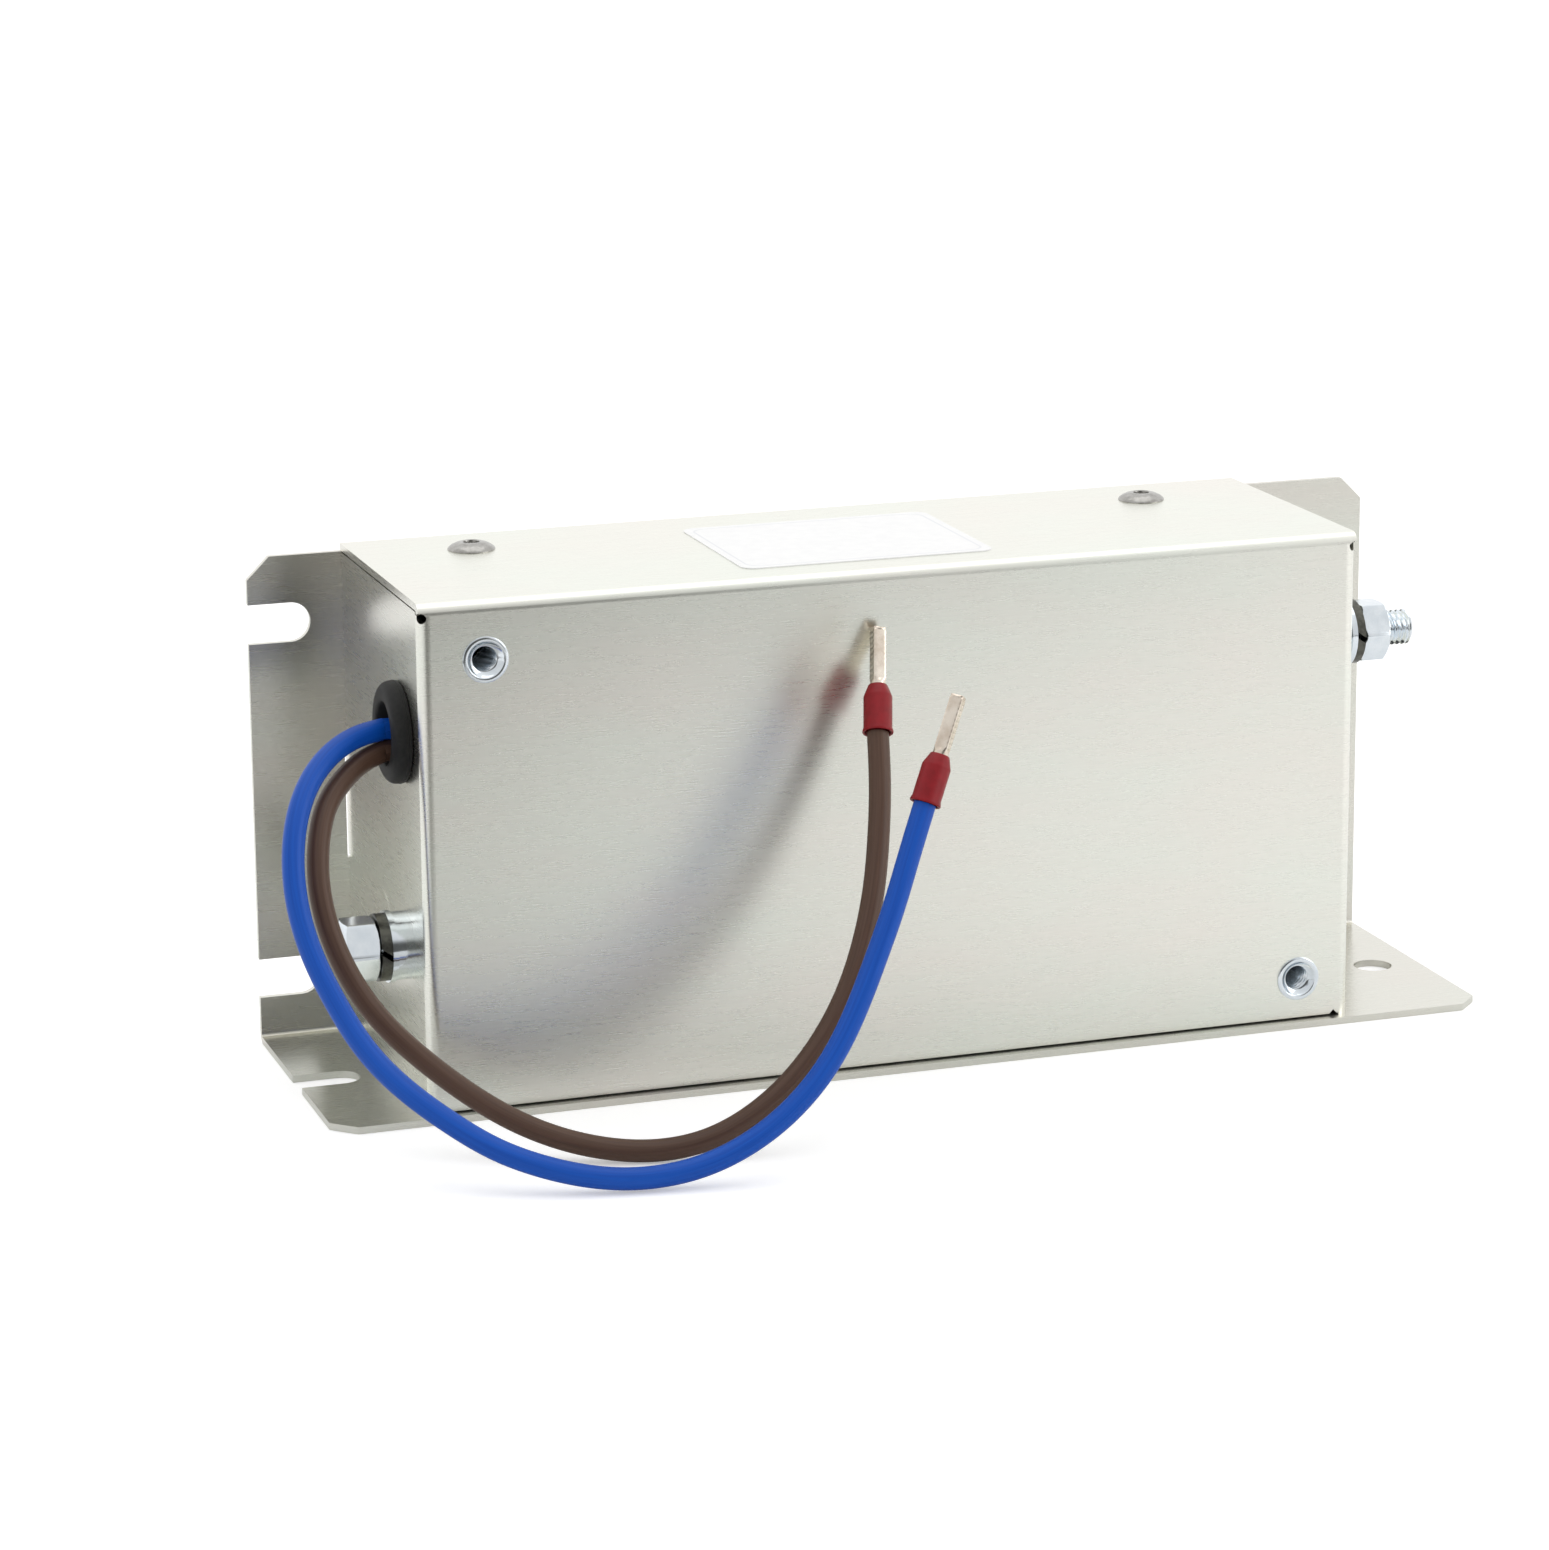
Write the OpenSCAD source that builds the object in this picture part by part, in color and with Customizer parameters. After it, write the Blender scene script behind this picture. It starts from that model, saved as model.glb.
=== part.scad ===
// Footprint EMI line filter for a small motor drive.
// A folded cover and a folded chassis hold a common-mode choke, two line capacitors, two earth capacitors
// and a discharge resistor. X runs along the case, -Y is the front that the drive is fixed to, Z is up.

/* [Case] */
// Length over the two end walls
case_l = 135; // [130:1:160]
// Height from the surface it stands on to the top
case_h = 71; // [70:0.5:90]
// Depth from the back plate's back to the front face
case_d = 43.5; // [41:0.5:60]
// Sheet thickness of the cover and the chassis
sheet_t = 1; // [0.8:0.1:1.2]
// Outside radius of the folds
fold_r = 1.6; // [1.5:0.1:2.5]
// Depth of the bottom plate
foot_d = 45; // [44.5:0.5:64]
// Mounting ear beyond the left end wall
ear_left = 13.5; // [12:0.5:16]
// Mounting ear beyond the right end wall
ear_right = 20.5; // [17:0.5:26]
// Chamfer on the ears' free corners
ear_chamfer = 3.2; // [2:0.1:5]

/* [Mounting] */
// Distance between the mounting slots and the mounting holes
mount_l = 156; // [152:1:190]
// Distance between the upper and the lower row
mount_h = 51; // [46:1:56]
// Width of the slots and diameter of the holes
mount_d = 5.6; // [4.5:0.1:6.5]
// Distance of the bottom plate's slot and hole from the back
foot_hole_y = 23; // [20:0.5:26]

/* [Drive inserts] */
// Distance between the inserts along the case
drive_l = 118; // [112:1:120]
// Distance of the upper insert below the top
insert_down = 8; // [6.5:0.5:10]
// Distance of the lower insert above the surface it stands on
insert_up = 7; // [6.5:0.5:10]
// Bore of the M4 thread
insert_bore = 3.4; // [3.2:0.1:3.8]

/* [Leads] */
// Outside diameter of a lead
lead_d = 3; // [2.6:0.1:3.4]
// Height of the grommet's axis
grommet_z = 51.5; // [48:0.5:56]
// Distance of the grommet's axis from the back
grommet_y = 32.5; // [29:0.5:34]
// Outside diameter of the grommet
grommet_d = 13.9; // [12.5:0.1:15]
// Length of a ferrule's sleeve
sleeve_l = 6.8; // [5:0.1:8]
// Length of a ferrule's pin
pin_l = 8.2; // [6:0.1:12]

/* [Earth studs] */
// Distance of both studs from the back
stud_y = 33; // [30:0.5:35]
// Height of the stud on the lead side
stud_z_load = 22; // [18:0.5:26]
// Height of the stud on the input side
stud_z_line = 54.4; // [50:0.2:58]
// Diameter of the M5 thread
stud_d = 5; // [4:0.1:5]
// Width across flats of the nuts
nut_af = 8; // [7.5:0.1:8]

/* [Choke] */
// Outside diameter of the core
core_od = 30; // [26:1:32]
// Inside diameter of the core
core_id = 16; // [15:1:18]
// Height of the core
core_h = 14; // [10:1:16]
// Diameter of the winding wire
wire_d = 1.3; // [1:0.1:1.4]
// Turns in each winding
turns = 11; // [6:1:12]

/* [Hidden] */
$fn = 48;

// Everything is laid out from the outer face of the left end wall, the back and the surface it stands on,
// and then moved so that the origin lies under the middle of the case and its ears.
total_l = ear_left + case_l + ear_right;
origin_x = case_l + ear_right - total_l / 2;
origin_y = -foot_d / 2;

back_h = case_h - sheet_t;
fold_in = fold_r - sheet_t;
front_y = -(case_d - fold_r);
mount_left_x = -7.5 - (mount_l - 156) / 2;
mount_right_x = mount_left_x + mount_l;
mount_low_z = (back_h - mount_h) / 2;
mount_zs = [mount_low_z, mount_low_z + mount_h];

// The cover's end walls are keyed into the back plate by one tab each.
tab_z = 26;
tab_h = 18.4;
tab_gap = 0.35;
flange_d = 15;
flange_x = 2.5;
relief_w = 1.2;
corner_hole_d = 1.5;

rivet_xs = [16.1, 116.1];
rivet_y = -10.6;
rivet_d = 4;

label_x = 47;
label_back = -8.2;

insert_x = 9;
insert_ps = [[insert_x, case_h - insert_down], [insert_x + drive_l, insert_up]];
insert_l = 9.5;
insert_body_d = 5.9;
insert_rim_d = 6.3;
insert_rim_t = 0.25;
insert_chamfer = 0.8;

// Stack on each earth stud, from the wall outwards
spacer_d = 9.3;
spacer_t = 2.3;
washer_d = 9.8;
washer_t = 0.8;
spring_d = 9.2;
spring_t = 1.4;
spring_cut = 0.7;
nut_t_load = 4.7;
nut_t_line = 4.2;
stud_l_load = spacer_t + washer_t + spring_t + nut_t_load + 0.5;
stud_l_line = spacer_t + washer_t + spring_t + nut_t_line + 4.3;
stud_head_d = 8;
stud_head_t = 1.2;

// The circuit board stands off the back plate and carries its parts towards the front.
board_gap = 5;
board_t = 1.6;
board_x = 6;
board_l = case_l - 29;
board_z = 6;
board_h = case_h - 13;
board_back = -sheet_t - board_gap;
board_face = board_back - board_t;
board_hole_in = 4;
board_holes = [
    for (x = [board_x + board_hole_in, board_x + board_l - board_hole_in])
    for (z = [board_z + board_hole_in, board_z + board_h - board_hole_in]) [x, z]
];
liner_t = 0.3;
liner_over = 2;
pin_tail = 1;
pin_clear = 0.3;

// Threaded standoffs pressed into the back plate, and the screws that hold the board on them
standoff_d = 6;
standoff_neck_d = 4;
standoff_bore = 3;
board_screw_d = 2.9;
board_screw_l = 5.6;
board_screw_head_d = 5.6;
board_screw_head_h = 1.9;

// Centres on the board, as [x, z], and the pins of the parts that stand there
xcap_w = 10;
xcap_l = 26;
xcap_h = 19;
xcap_pin_d = 0.8;
xcap_pin_pitch = 21;
xcap_at = [[board_x + board_l - 12, case_h / 2], [board_x + 22, case_h / 2]];
ycap_d = 8;
ycap_pin_d = 0.7;
ycap_pin_pitch = 5;
ycap_at = [[board_x + 30, board_z + 8], [board_x + 30, board_z + board_h - 8]];
bleeder_pin_d = 0.7;
bleeder_pin_pitch = 10.4;
bleeder_at = [board_x + board_l - 30, board_z + board_h - 7];
pin_holes = concat(
    [for (p = xcap_at, s = [-0.5, 0.5]) [p[0], p[1] + s * xcap_pin_pitch, xcap_pin_d]],
    [for (p = ycap_at, s = [-0.5, 0.5]) [p[0] + s * ycap_pin_pitch, p[1], ycap_pin_d]],
    [for (s = [-0.5, 0.5]) [bleeder_at[0] + s * bleeder_pin_pitch, bleeder_at[1], bleeder_pin_d]]
);

choke_x = 62;
choke_z = case_h / 2;
choke_base_t = 1.5;
coil_gap = 0.25;
coil_off = coil_gap + wire_d / 2;
choke_y = board_face - choke_base_t - wire_d - coil_gap - core_h / 2;
coil_sides = 6;
coil_steps = 12;

term_y = -15;
term_z = 29;
term_pitch = 13;
term_h = 28;
term_w = 14;
term_out = 7.5;
term_in = 14;
term_hole_d = 4.4;
clamp_s = 8;
clamp_back = 3;
tag_past = 3.5;
term_screw_x = case_l + 3.6;

// Routes of the leads, from the outer face of the grommet to the ferrule's sleeve, in the layout's axes
exit_x = -2.5;
blue_z = grommet_z + 0.5;
brown_z = grommet_z - 2.5;
blue_route = [
    [0, 0, 0], [-3, -0.9, -0.3], [-6.7, -2.8, -1.3], [-10.4, -5.7, -3.4], [-13.5, -9.2, -6.9],
    [-15.5, -12.9, -11.9], [-16, -16.3, -18], [-15, -19.7, -24.2], [-12.8, -23.6, -30.2], [-10, -28.2, -35.5],
    [-6.2, -33, -39.7], [-1.5, -37.3, -43.3], [3.5, -40.9, -46.3], [9.5, -44.1, -48.5], [16.1, -46.3, -49.9],
    [23, -47.7, -50.1], [29.9, -48.5, -48.8], [36.3, -48.9, -45.9], [42.1, -48.5, -41.8],
    [46.9, -47.5, -36.8], [50.8, -46, -31], [54.1, -44.3, -25], [57.2, -42.5, -19],
    [60.1, -40.6, -12.6], [62.9, -38.8, -6.5]
];
brown_route = [
    [0, 0, 0], [-2.9, -1.2, -0.8], [-6.1, -3.3, -2.4], [-9.3, -6.4, -5], [-11.4, -9.9, -9.1],
    [-12.2, -13, -14.4], [-11.4, -15.6, -20.4], [-9.2, -17.7, -26.2], [-5.8, -19.8, -31.5], [-1.5, -22.3, -36],
    [3.1, -25.6, -39.8], [8.2, -29.1, -43.1], [13.7, -32.2, -45.5], [19.8, -34.8, -47], [26.3, -36.8, -47.4],
    [32.9, -38, -46.3], [39.1, -38.3, -43.5], [44.5, -38, -39.5], [49.3, -37, -34.5], [53.2, -35.4, -29],
    [56.3, -33.2, -23], [58.7, -30.5, -17], [60.5, -27.4, -11], [62, -23.9, -4.7], [63.1, -20.1, 1.7]
];
blue_end_dir = [0.41, 0.26, 0.87];
brown_end_dir = [0.19, 0.52, 0.83];
blue_path = [for (p = blue_route) p + [exit_x, -grommet_y, blue_z]];
brown_path = [for (p = brown_route) p + [exit_x, -grommet_y, brown_z]];
inner_x = 14;
link_d = 2;
lead_sides = 8;

// Ferrules
sleeve_d = lead_d + 0.9;
pin_d = 2.1;

// --- helpers -------------------------------------------------------------------------------------------

// Moves a piece from the layout's corner to the part's own origin
module placed() {
    translate([-origin_x, -origin_y, 0]) children();
}

// Extrudes a (Y, Z) outline along X
module along_x(x0, length) {
    translate([x0, 0, 0]) rotate([90, 0, 90]) linear_extrude(length) children();
}

// A straight round bar or hole along X
module bar_x(x0, length, y, z, d, fn = 48) {
    translate([x0, y, z]) rotate([0, 90, 0]) cylinder(h = length, d = d, $fn = fn);
}

// A straight round bar or hole along Y, from y0 towards the front
module bar_y(y0, length, x, z, d, fn = 48) {
    translate([x, y0, z]) rotate([90, 0, 0]) cylinder(h = length, d = d, $fn = fn);
}

// Quarter ring outline of a fold, in the quadrant of +x and +y
module fold_outline() {
    intersection() {
        difference() {
            circle(r = fold_r);
            circle(r = fold_in);
        }
        square(fold_r);
    }
}

// An open slot that enters an ear from its free edge, as a (length, across) outline
module slot_outline(reach) {
    circle(d = mount_d);
    translate([-reach, -mount_d / 2]) square([reach, mount_d]);
}

function unit(v) = v / norm(v);

// Direction of a path at point i
function path_dir(path, i) =
    unit(path[min(i + 1, len(path) - 1)] - path[max(i - 1, 0)]);

// One ring of points round a path point, square to the direction d
function ring(c, d, r, sides, side_dir) =
    let (u = unit(cross(side_dir, d)), v = cross(d, u))
    [for (k = [0 : sides - 1]) c + r * (cos(360 * k / sides) * u + sin(360 * k / sides) * v)];

// A closed tube swept along a path, with its two end rings square to the end directions. side_dirs holds one
// direction for each point, roughly square to the path, that keeps the rings from turning about it.
module tube(path, d, sides, first_dir, last_dir, side_dirs) {
    n = len(path);
    dirs = [for (i = [0 : n - 1]) i == 0 ? first_dir : i == n - 1 ? last_dir : path_dir(path, i)];
    rings = [for (i = [0 : n - 1]) ring(path[i], dirs[i], d / 2, sides, side_dirs[i])];
    points = [for (r = rings) for (p = r) p];
    walls = [
        for (i = [0 : n - 2]) for (k = [0 : sides - 1])
        [i * sides + k, i * sides + (k + 1) % sides, (i + 1) * sides + (k + 1) % sides, (i + 1) * sides + k]
    ];
    first = [for (k = [sides - 1 : -1 : 0]) k];
    last = [for (k = [0 : sides - 1]) (n - 1) * sides + k];
    polyhedron(points = points, faces = concat([first], walls, [last]), convexity = 6);
}

// Turns a shape that points along +Z so that it points along d from point p
module aimed(p, d) {
    translate(p) rotate([0, acos(unit(d)[2]), atan2(d[1], d[0])]) children();
}

// --- case ----------------------------------------------------------------------------------------------

module ear_outline() {
    c = ear_chamfer;
    polygon([
        [-ear_left, fold_r], [case_l + ear_right, fold_r], [case_l + ear_right, back_h - c],
        [case_l + ear_right - c, back_h], [-ear_left + c, back_h], [-ear_left, back_h - c]
    ]);
}

module foot_outline() {
    c = ear_chamfer;
    polygon([
        [-ear_left, -fold_r], [-ear_left, -foot_d + c], [-ear_left + c, -foot_d],
        [case_l + ear_right - c, -foot_d], [case_l + ear_right, -foot_d + c], [case_l + ear_right, -fold_r]
    ]);
}

module chassis() {
    flange_l = case_l - 2 * flange_x;
    color("gainsboro") placed() {
        difference() {
            rotate([90, 0, 0]) linear_extrude(sheet_t) ear_outline();
            // room for the flange's fold and its two relief notches
            translate([flange_x - relief_w, -2 * sheet_t, back_h - fold_r])
                cube([flange_l + 2 * relief_w, 3 * sheet_t, 2 * fold_r]);
            for (z = mount_zs) {
                translate([mount_left_x, 1, z]) rotate([90, 0, 0])
                    linear_extrude(4) slot_outline(2 * ear_left);
                bar_y(1, 4, mount_right_x, z, mount_d);
            }
            for (x = [-tab_gap, case_l - sheet_t - 0.1])
                translate([x, -2 * sheet_t, tab_z]) cube([sheet_t + tab_gap + 0.1, 3 * sheet_t, tab_h]);
            for (h = board_holes) bar_y(1, 4, h[0], h[1], standoff_neck_d);
        }
        difference() {
            linear_extrude(sheet_t) foot_outline();
            translate([mount_left_x, -foot_hole_y, -1]) linear_extrude(4) slot_outline(2 * ear_left);
            translate([mount_right_x, -foot_hole_y, -1]) cylinder(h = 4, d = mount_d);
        }
        along_x(-ear_left, total_l) translate([-fold_r, fold_r]) rotate(-90) fold_outline();
        along_x(flange_x, flange_l) translate([-fold_r, back_h - fold_r]) fold_outline();
        difference() {
            translate([flange_x, -flange_d, back_h - sheet_t]) cube([flange_l, flange_d - fold_r, sheet_t]);
            for (x = rivet_xs) translate([x, rivet_y, back_h - 2]) cylinder(h = 4, d = rivet_d + 0.1);
        }
    }
}

// The left end wall with its fold to the front; its lower back corner clears the chassis's inner fold
module end_wall() {
    seam = 0.2;
    corner = fold_in + 0.2;
    along_x(0, sheet_t) polygon([
        [front_y, sheet_t], [-sheet_t - corner, sheet_t], [-sheet_t, sheet_t + corner],
        [-sheet_t, back_h - seam], [front_y, back_h - seam]
    ]);
    translate([0, -sheet_t, tab_z + 0.3]) cube([sheet_t, sheet_t, tab_h - 0.6]);
    translate([fold_r, front_y, sheet_t])
        linear_extrude(case_h - fold_r - sheet_t) rotate(180) fold_outline();
}

// Round relief hole where the folds of the top and of an end wall would meet
module corner_hole() {
    deep = 2 * fold_r;
    translate([0.2 * fold_r, -case_d + 0.2 * fold_r, case_h - fold_r - 0.2 * corner_hole_d]) rotate([90, 0, -45])
        translate([0, 0, -deep]) cylinder(h = 2 * deep, d = corner_hole_d);
}

module cover() {
    front_gap = 0.25;
    color("lightgray") placed() difference() {
        union() {
            translate([0, front_y, back_h]) cube([case_l, -front_y, sheet_t]);
            along_x(0, case_l) translate([front_y, case_h - fold_r]) rotate(90) fold_outline();
            translate([fold_r, -case_d, sheet_t + front_gap])
                cube([case_l - 2 * fold_r, sheet_t, case_h - fold_r - sheet_t - front_gap]);
            end_wall();
            translate([case_l, 0, 0]) mirror([1, 0, 0]) end_wall();
        }
        corner_hole();
        translate([case_l, 0, 0]) mirror([1, 0, 0]) corner_hole();
        // small notches beside the folds in the front's lower edge
        for (x = [fold_r + 0.8, case_l - fold_r - 0.8])
            translate([x, -case_d - 1, sheet_t]) rotate([0, 45, 0]) cube([1.2, 4, 1.2], center = true);
        for (p = insert_ps) bar_y(-case_d + 3, 6, p[0], p[1], insert_body_d + 0.1);
        for (x = rivet_xs) translate([x, rivet_y, back_h - 1]) cylinder(h = 4, d = rivet_d + 0.1);
        bar_x(-1, 4, -grommet_y, grommet_z, grommet_d - 3.8);
        bar_x(-1, 4, -stud_y, stud_z_load, stud_d + 0.2);
        bar_x(case_l - 2, 4, -stud_y, stud_z_line, stud_d + 0.2);
        translate([case_l - 3, term_y - term_w / 2 - 0.1, term_z - term_h / 2 - 0.1])
            cube([6, term_w + 0.2, term_h + 0.2]);
    }
}

// Blind rivet: domed head above, shank through both sheets, formed bulge below, hole for the broken mandrel
module blind_rivet() {
    head_d = 6.6;
    head_h = 1.1;
    grip = 2 * sheet_t;
    rotate_extrude() difference() {
        union() {
            polygon([
                [0, 0], [head_d / 2, 0], [head_d / 2, 0.25], [head_d / 2 * 0.86, 0.62 * head_h],
                [head_d / 2 * 0.62, 0.9 * head_h], [head_d / 2 * 0.36, head_h], [0, head_h]
            ]);
            translate([0, -grip]) square([rivet_d / 2, grip]);
            polygon([
                [0, -grip], [rivet_d / 2 * 1.25, -grip], [rivet_d / 2 * 1.3, -grip - 1.2],
                [rivet_d / 2, -grip - 3.4], [0, -grip - 3.6]
            ]);
        }
        translate([-1, 0.35 * head_h]) square([1 + 1.1, 2 * head_h]);
    }
}

module cover_rivets() {
    color("silver") placed() for (x = rivet_xs) translate([x, rivet_y, case_h]) blind_rivet();
}

// Rivet nut: flat rim on the front face, threaded bore with a lead-in chamfer, bulge behind the sheet
module rivet_nut(p) {
    r = insert_bore / 2;
    body_r = insert_body_d / 2;
    translate([p[0], -case_d, p[1]]) rotate([-90, 0, 0]) rotate_extrude() polygon([
        [r + insert_chamfer, -insert_rim_t], [insert_rim_d / 2 - 0.1, -insert_rim_t],
        [insert_rim_d / 2, -insert_rim_t + 0.1], [insert_rim_d / 2, 0], [body_r, 0], [body_r, sheet_t],
        [body_r + 1.1, sheet_t], [body_r + 1.3, sheet_t + 0.8], [body_r, sheet_t + 2], [body_r, insert_l],
        [r, insert_l],
        [r, insert_chamfer - insert_rim_t]
    ]);
}

module insert_upper() {
    color("lightsteelblue") placed() rivet_nut(insert_ps[0]);
}

module insert_lower() {
    color("lightsteelblue") placed() rivet_nut(insert_ps[1]);
}

// Blank rating label with round corners
module label() {
    label_l = 36.4;
    label_w = 29;
    label_t = 0.12;
    corner = 2;
    color("whitesmoke") placed() translate([label_x, label_back - label_w, case_h]) linear_extrude(label_t) {
        translate([corner, 0]) square([label_l - 2 * corner, label_w]);
        translate([0, corner]) square([label_l, label_w - 2 * corner]);
        for (x = [corner, label_l - corner], y = [corner, label_w - corner])
            translate([x, y]) circle(r = corner);
    }
}

// --- leads ---------------------------------------------------------------------------------------------

// Rubber grommet turned round its own axis: rounded outer lip, neck through the wall, inner lip
module grommet() {
    lip = grommet_d / 2;
    neck = lip - 2;
    bore = grommet_d / 2 - 2.75;
    out = -exit_x;
    inner_t = 2.4;
    color("dimgray") placed() translate([0, -grommet_y, grommet_z]) rotate([0, 90, 0]) rotate_extrude() {
        difference() {
            union() {
                translate([bore, -out]) square([lip - bore - 1.2, out]);
                translate([bore, -out + 1.2]) square([lip - bore, out - 1.2]);
                intersection() {
                    translate([lip - 1.2, -out + 1.2]) circle(r = 1.2);
                    translate([bore, -out]) square([lip, out]);
                }
                translate([bore, -0.01]) square([neck - bore, sheet_t + 0.02]);
                translate([bore, sheet_t]) square([lip - 0.6 - bore, inner_t]);
            }
            translate([bore, -out]) rotate(45) square(0.7, center = true);
        }
    }
}

// A load lead; both loops lie roughly in one plane that leans forward
module load_lead(path, end_dir) {
    loop_normal = [0, 0.75, -0.65];
    tube(path, lead_d, lead_sides, [-1, 0, 0], unit(end_dir), [for (p = path) loop_normal]);
}

module lead_blue() {
    color("royalblue") placed() load_lead(blue_path, blue_end_dir);
}

module lead_brown() {
    color("saddlebrown") placed() load_lead(brown_path, brown_end_dir);
}

// Plastic ferrule sleeve: flared mouth at the lead, straight body and a short cone down to the pin
module sleeve() {
    body_r = sleeve_d / 2;
    mouth = 0.7;
    cone_l = 1.6;
    rotate_extrude() polygon([
        [0, 0], [body_r + 0.15, 0], [body_r + 0.15, mouth / 3], [body_r, mouth], [body_r, sleeve_l - cone_l],
        [pin_d / 2 + 0.2, sleeve_l], [0, sleeve_l]
    ]);
}

// Tinned tube: round where it leaves the sleeve, crimped nearly square, and open at its end
module ferrule_pin() {
    crimp_x = 0.6;
    crimp_w = 0.88 * pin_d;
    end_bore = 0.7 * pin_d;
    translate([0, 0, sleeve_l]) difference() {
        intersection() {
            cylinder(h = pin_l, d = pin_d);
            union() {
                translate([-pin_d / 2, -pin_d / 2, 0]) cube([pin_d, pin_d, crimp_x]);
                translate([-crimp_w / 2, -crimp_w / 2, 0]) cube([crimp_w, crimp_w, pin_l]);
            }
        }
        translate([0, 0, pin_l - 0.5]) cylinder(h = 1, d = end_bore);
    }
}

module sleeve_blue() {
    color("firebrick") placed() aimed(blue_path[len(blue_path) - 1], blue_end_dir) sleeve();
}

module sleeve_brown() {
    color("firebrick") placed() aimed(brown_path[len(brown_path) - 1], brown_end_dir) sleeve();
}

module pin_blue() {
    color("silver") placed() aimed(blue_path[len(blue_path) - 1], blue_end_dir) ferrule_pin();
}

module pin_brown() {
    color("silver") placed() aimed(brown_path[len(brown_path) - 1], brown_end_dir) ferrule_pin();
}

// --- earth studs ---------------------------------------------------------------------------------------

// Puts a stack that points along +Z outside one end wall: side -1 is the lead side, 1 the input side
module on_wall(side) {
    z = side < 0 ? stud_z_load : stud_z_line;
    translate([side < 0 ? 0 : case_l, -stud_y, z]) rotate([0, side * 90, 0]) children();
}

module stud(length) {
    tip = 0.6;
    translate([0, 0, -sheet_t - stud_head_t]) cylinder(h = stud_head_t, d = stud_head_d);
    translate([0, 0, -sheet_t]) cylinder(h = sheet_t + length - tip, d = stud_d);
    translate([0, 0, length - tip]) cylinder(h = tip, d1 = stud_d, d2 = stud_d - 2 * tip);
}

module washer(z0, t, d) {
    translate([0, 0, z0]) difference() {
        cylinder(h = t, d = d);
        translate([0, 0, -1]) cylinder(h = t + 2, d = stud_d + 0.3);
    }
}

// Spring washer with its slanting cut
module spring_washer() {
    difference() {
        washer(spacer_t + washer_t, spring_t, spring_d);
        translate([0, -spring_d / 2, spacer_t + washer_t + spring_t / 2]) rotate([0, 35, 0])
            cube([spring_cut, spring_d / 2 + 1, 3 * spring_t], center = true);
    }
}

// Hexagon nut with both outer faces chamfered
module nut(t) {
    across = nut_af / cos(30);
    translate([0, 0, spacer_t + washer_t + spring_t]) difference() {
        intersection() {
            cylinder(h = t, d = across, $fn = 6);
            rotate_extrude() polygon([
                [0, 0], [nut_af / 2 - 0.15, 0], [across / 2 + 0.1, 0.5], [across / 2 + 0.1, t - 0.5],
                [nut_af / 2 - 0.15, t], [0, t]
            ]);
        }
        translate([0, 0, -1]) cylinder(h = t + 2, d = stud_d + 0.1);
    }
}

module earth_stud_load() {
    color("silver") placed() on_wall(-1) stud(stud_l_load);
}

module earth_spacer_load() {
    color("silver") placed() on_wall(-1) washer(0, spacer_t, spacer_d);
}

module earth_washer_load() {
    color("lightgray") placed() on_wall(-1) washer(spacer_t, washer_t, washer_d);
}

module earth_spring_load() {
    color("dimgray") placed() on_wall(-1) spring_washer();
}

module earth_nut_load() {
    color("silver") placed() on_wall(-1) rotate(90) nut(nut_t_load);
}

module earth_stud_line() {
    color("silver") placed() on_wall(1) stud(stud_l_line);
}

module earth_spacer_line() {
    color("silver") placed() on_wall(1) washer(0, spacer_t, spacer_d);
}

module earth_washer_line() {
    color("lightgray") placed() on_wall(1) washer(spacer_t, washer_t, washer_d);
}

module earth_spring_line() {
    color("dimgray") placed() on_wall(1) spring_washer();
}

module earth_nut_line() {
    color("silver") placed() on_wall(1) rotate(90) nut(nut_t_line);
}

// --- line input ----------------------------------------------------------------------------------------

term_zs = [term_z - term_pitch / 2, term_z + term_pitch / 2];

// Two-pole block held by a rim outside the wall and by two ridges inside it
module terminal_block() {
    rim = 1.5;
    color("darkslategray") placed() difference() {
        union() {
            translate([case_l - term_in, term_y - term_w / 2, term_z - term_h / 2])
                cube([term_in + term_out, term_w, term_h]);
            translate([case_l, term_y - term_w / 2 - rim, term_z - term_h / 2 - rim])
                cube([rim, term_w + 2 * rim, term_h + 2 * rim]);
            for (z = [term_z - term_h / 2, term_z + term_h / 2])
                translate([case_l - sheet_t - 1.2, term_y - 3, z - 0.6]) cube([1.2, 6, 1.2]);
        }
        for (z = term_zs) {
            bar_x(case_l - clamp_back, term_out + clamp_back + 1, term_y, z, term_hole_d);
            bar_y(term_y + 2, 12, term_screw_x, z, 4.2);
            translate([case_l - clamp_back, term_y - clamp_s / 2, z - clamp_s / 2]) cube(clamp_s);
            translate([case_l - term_in - 1, term_y - 1.1, z - 1.6]) cube([term_in, 2.2, 3.2]);
        }
        // rib between the poles
        translate([case_l + rim + 1, term_y - term_w, term_z - 0.8]) cube([term_out, 2 * term_w, 1.6]);
    }
}

// Box clamp with the solder tag that reaches inside
module clamp(z) {
    difference() {
        translate([case_l - clamp_back, term_y - clamp_s / 2, z - clamp_s / 2]) cube(clamp_s);
        bar_x(case_l - clamp_back + 1, clamp_s, term_y, z, term_hole_d);
        bar_y(term_y, clamp_s, term_screw_x, z, 3);
    }
    translate([case_l - term_in - tag_past, term_y - 0.6, z - 1.5])
        cube([term_in + tag_past - clamp_back + 0.1, 1.2, 3]);
}

module clamp_line() {
    color("gold") placed() clamp(term_zs[1]);
}

module clamp_neutral() {
    color("gold") placed() clamp(term_zs[0]);
}

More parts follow.
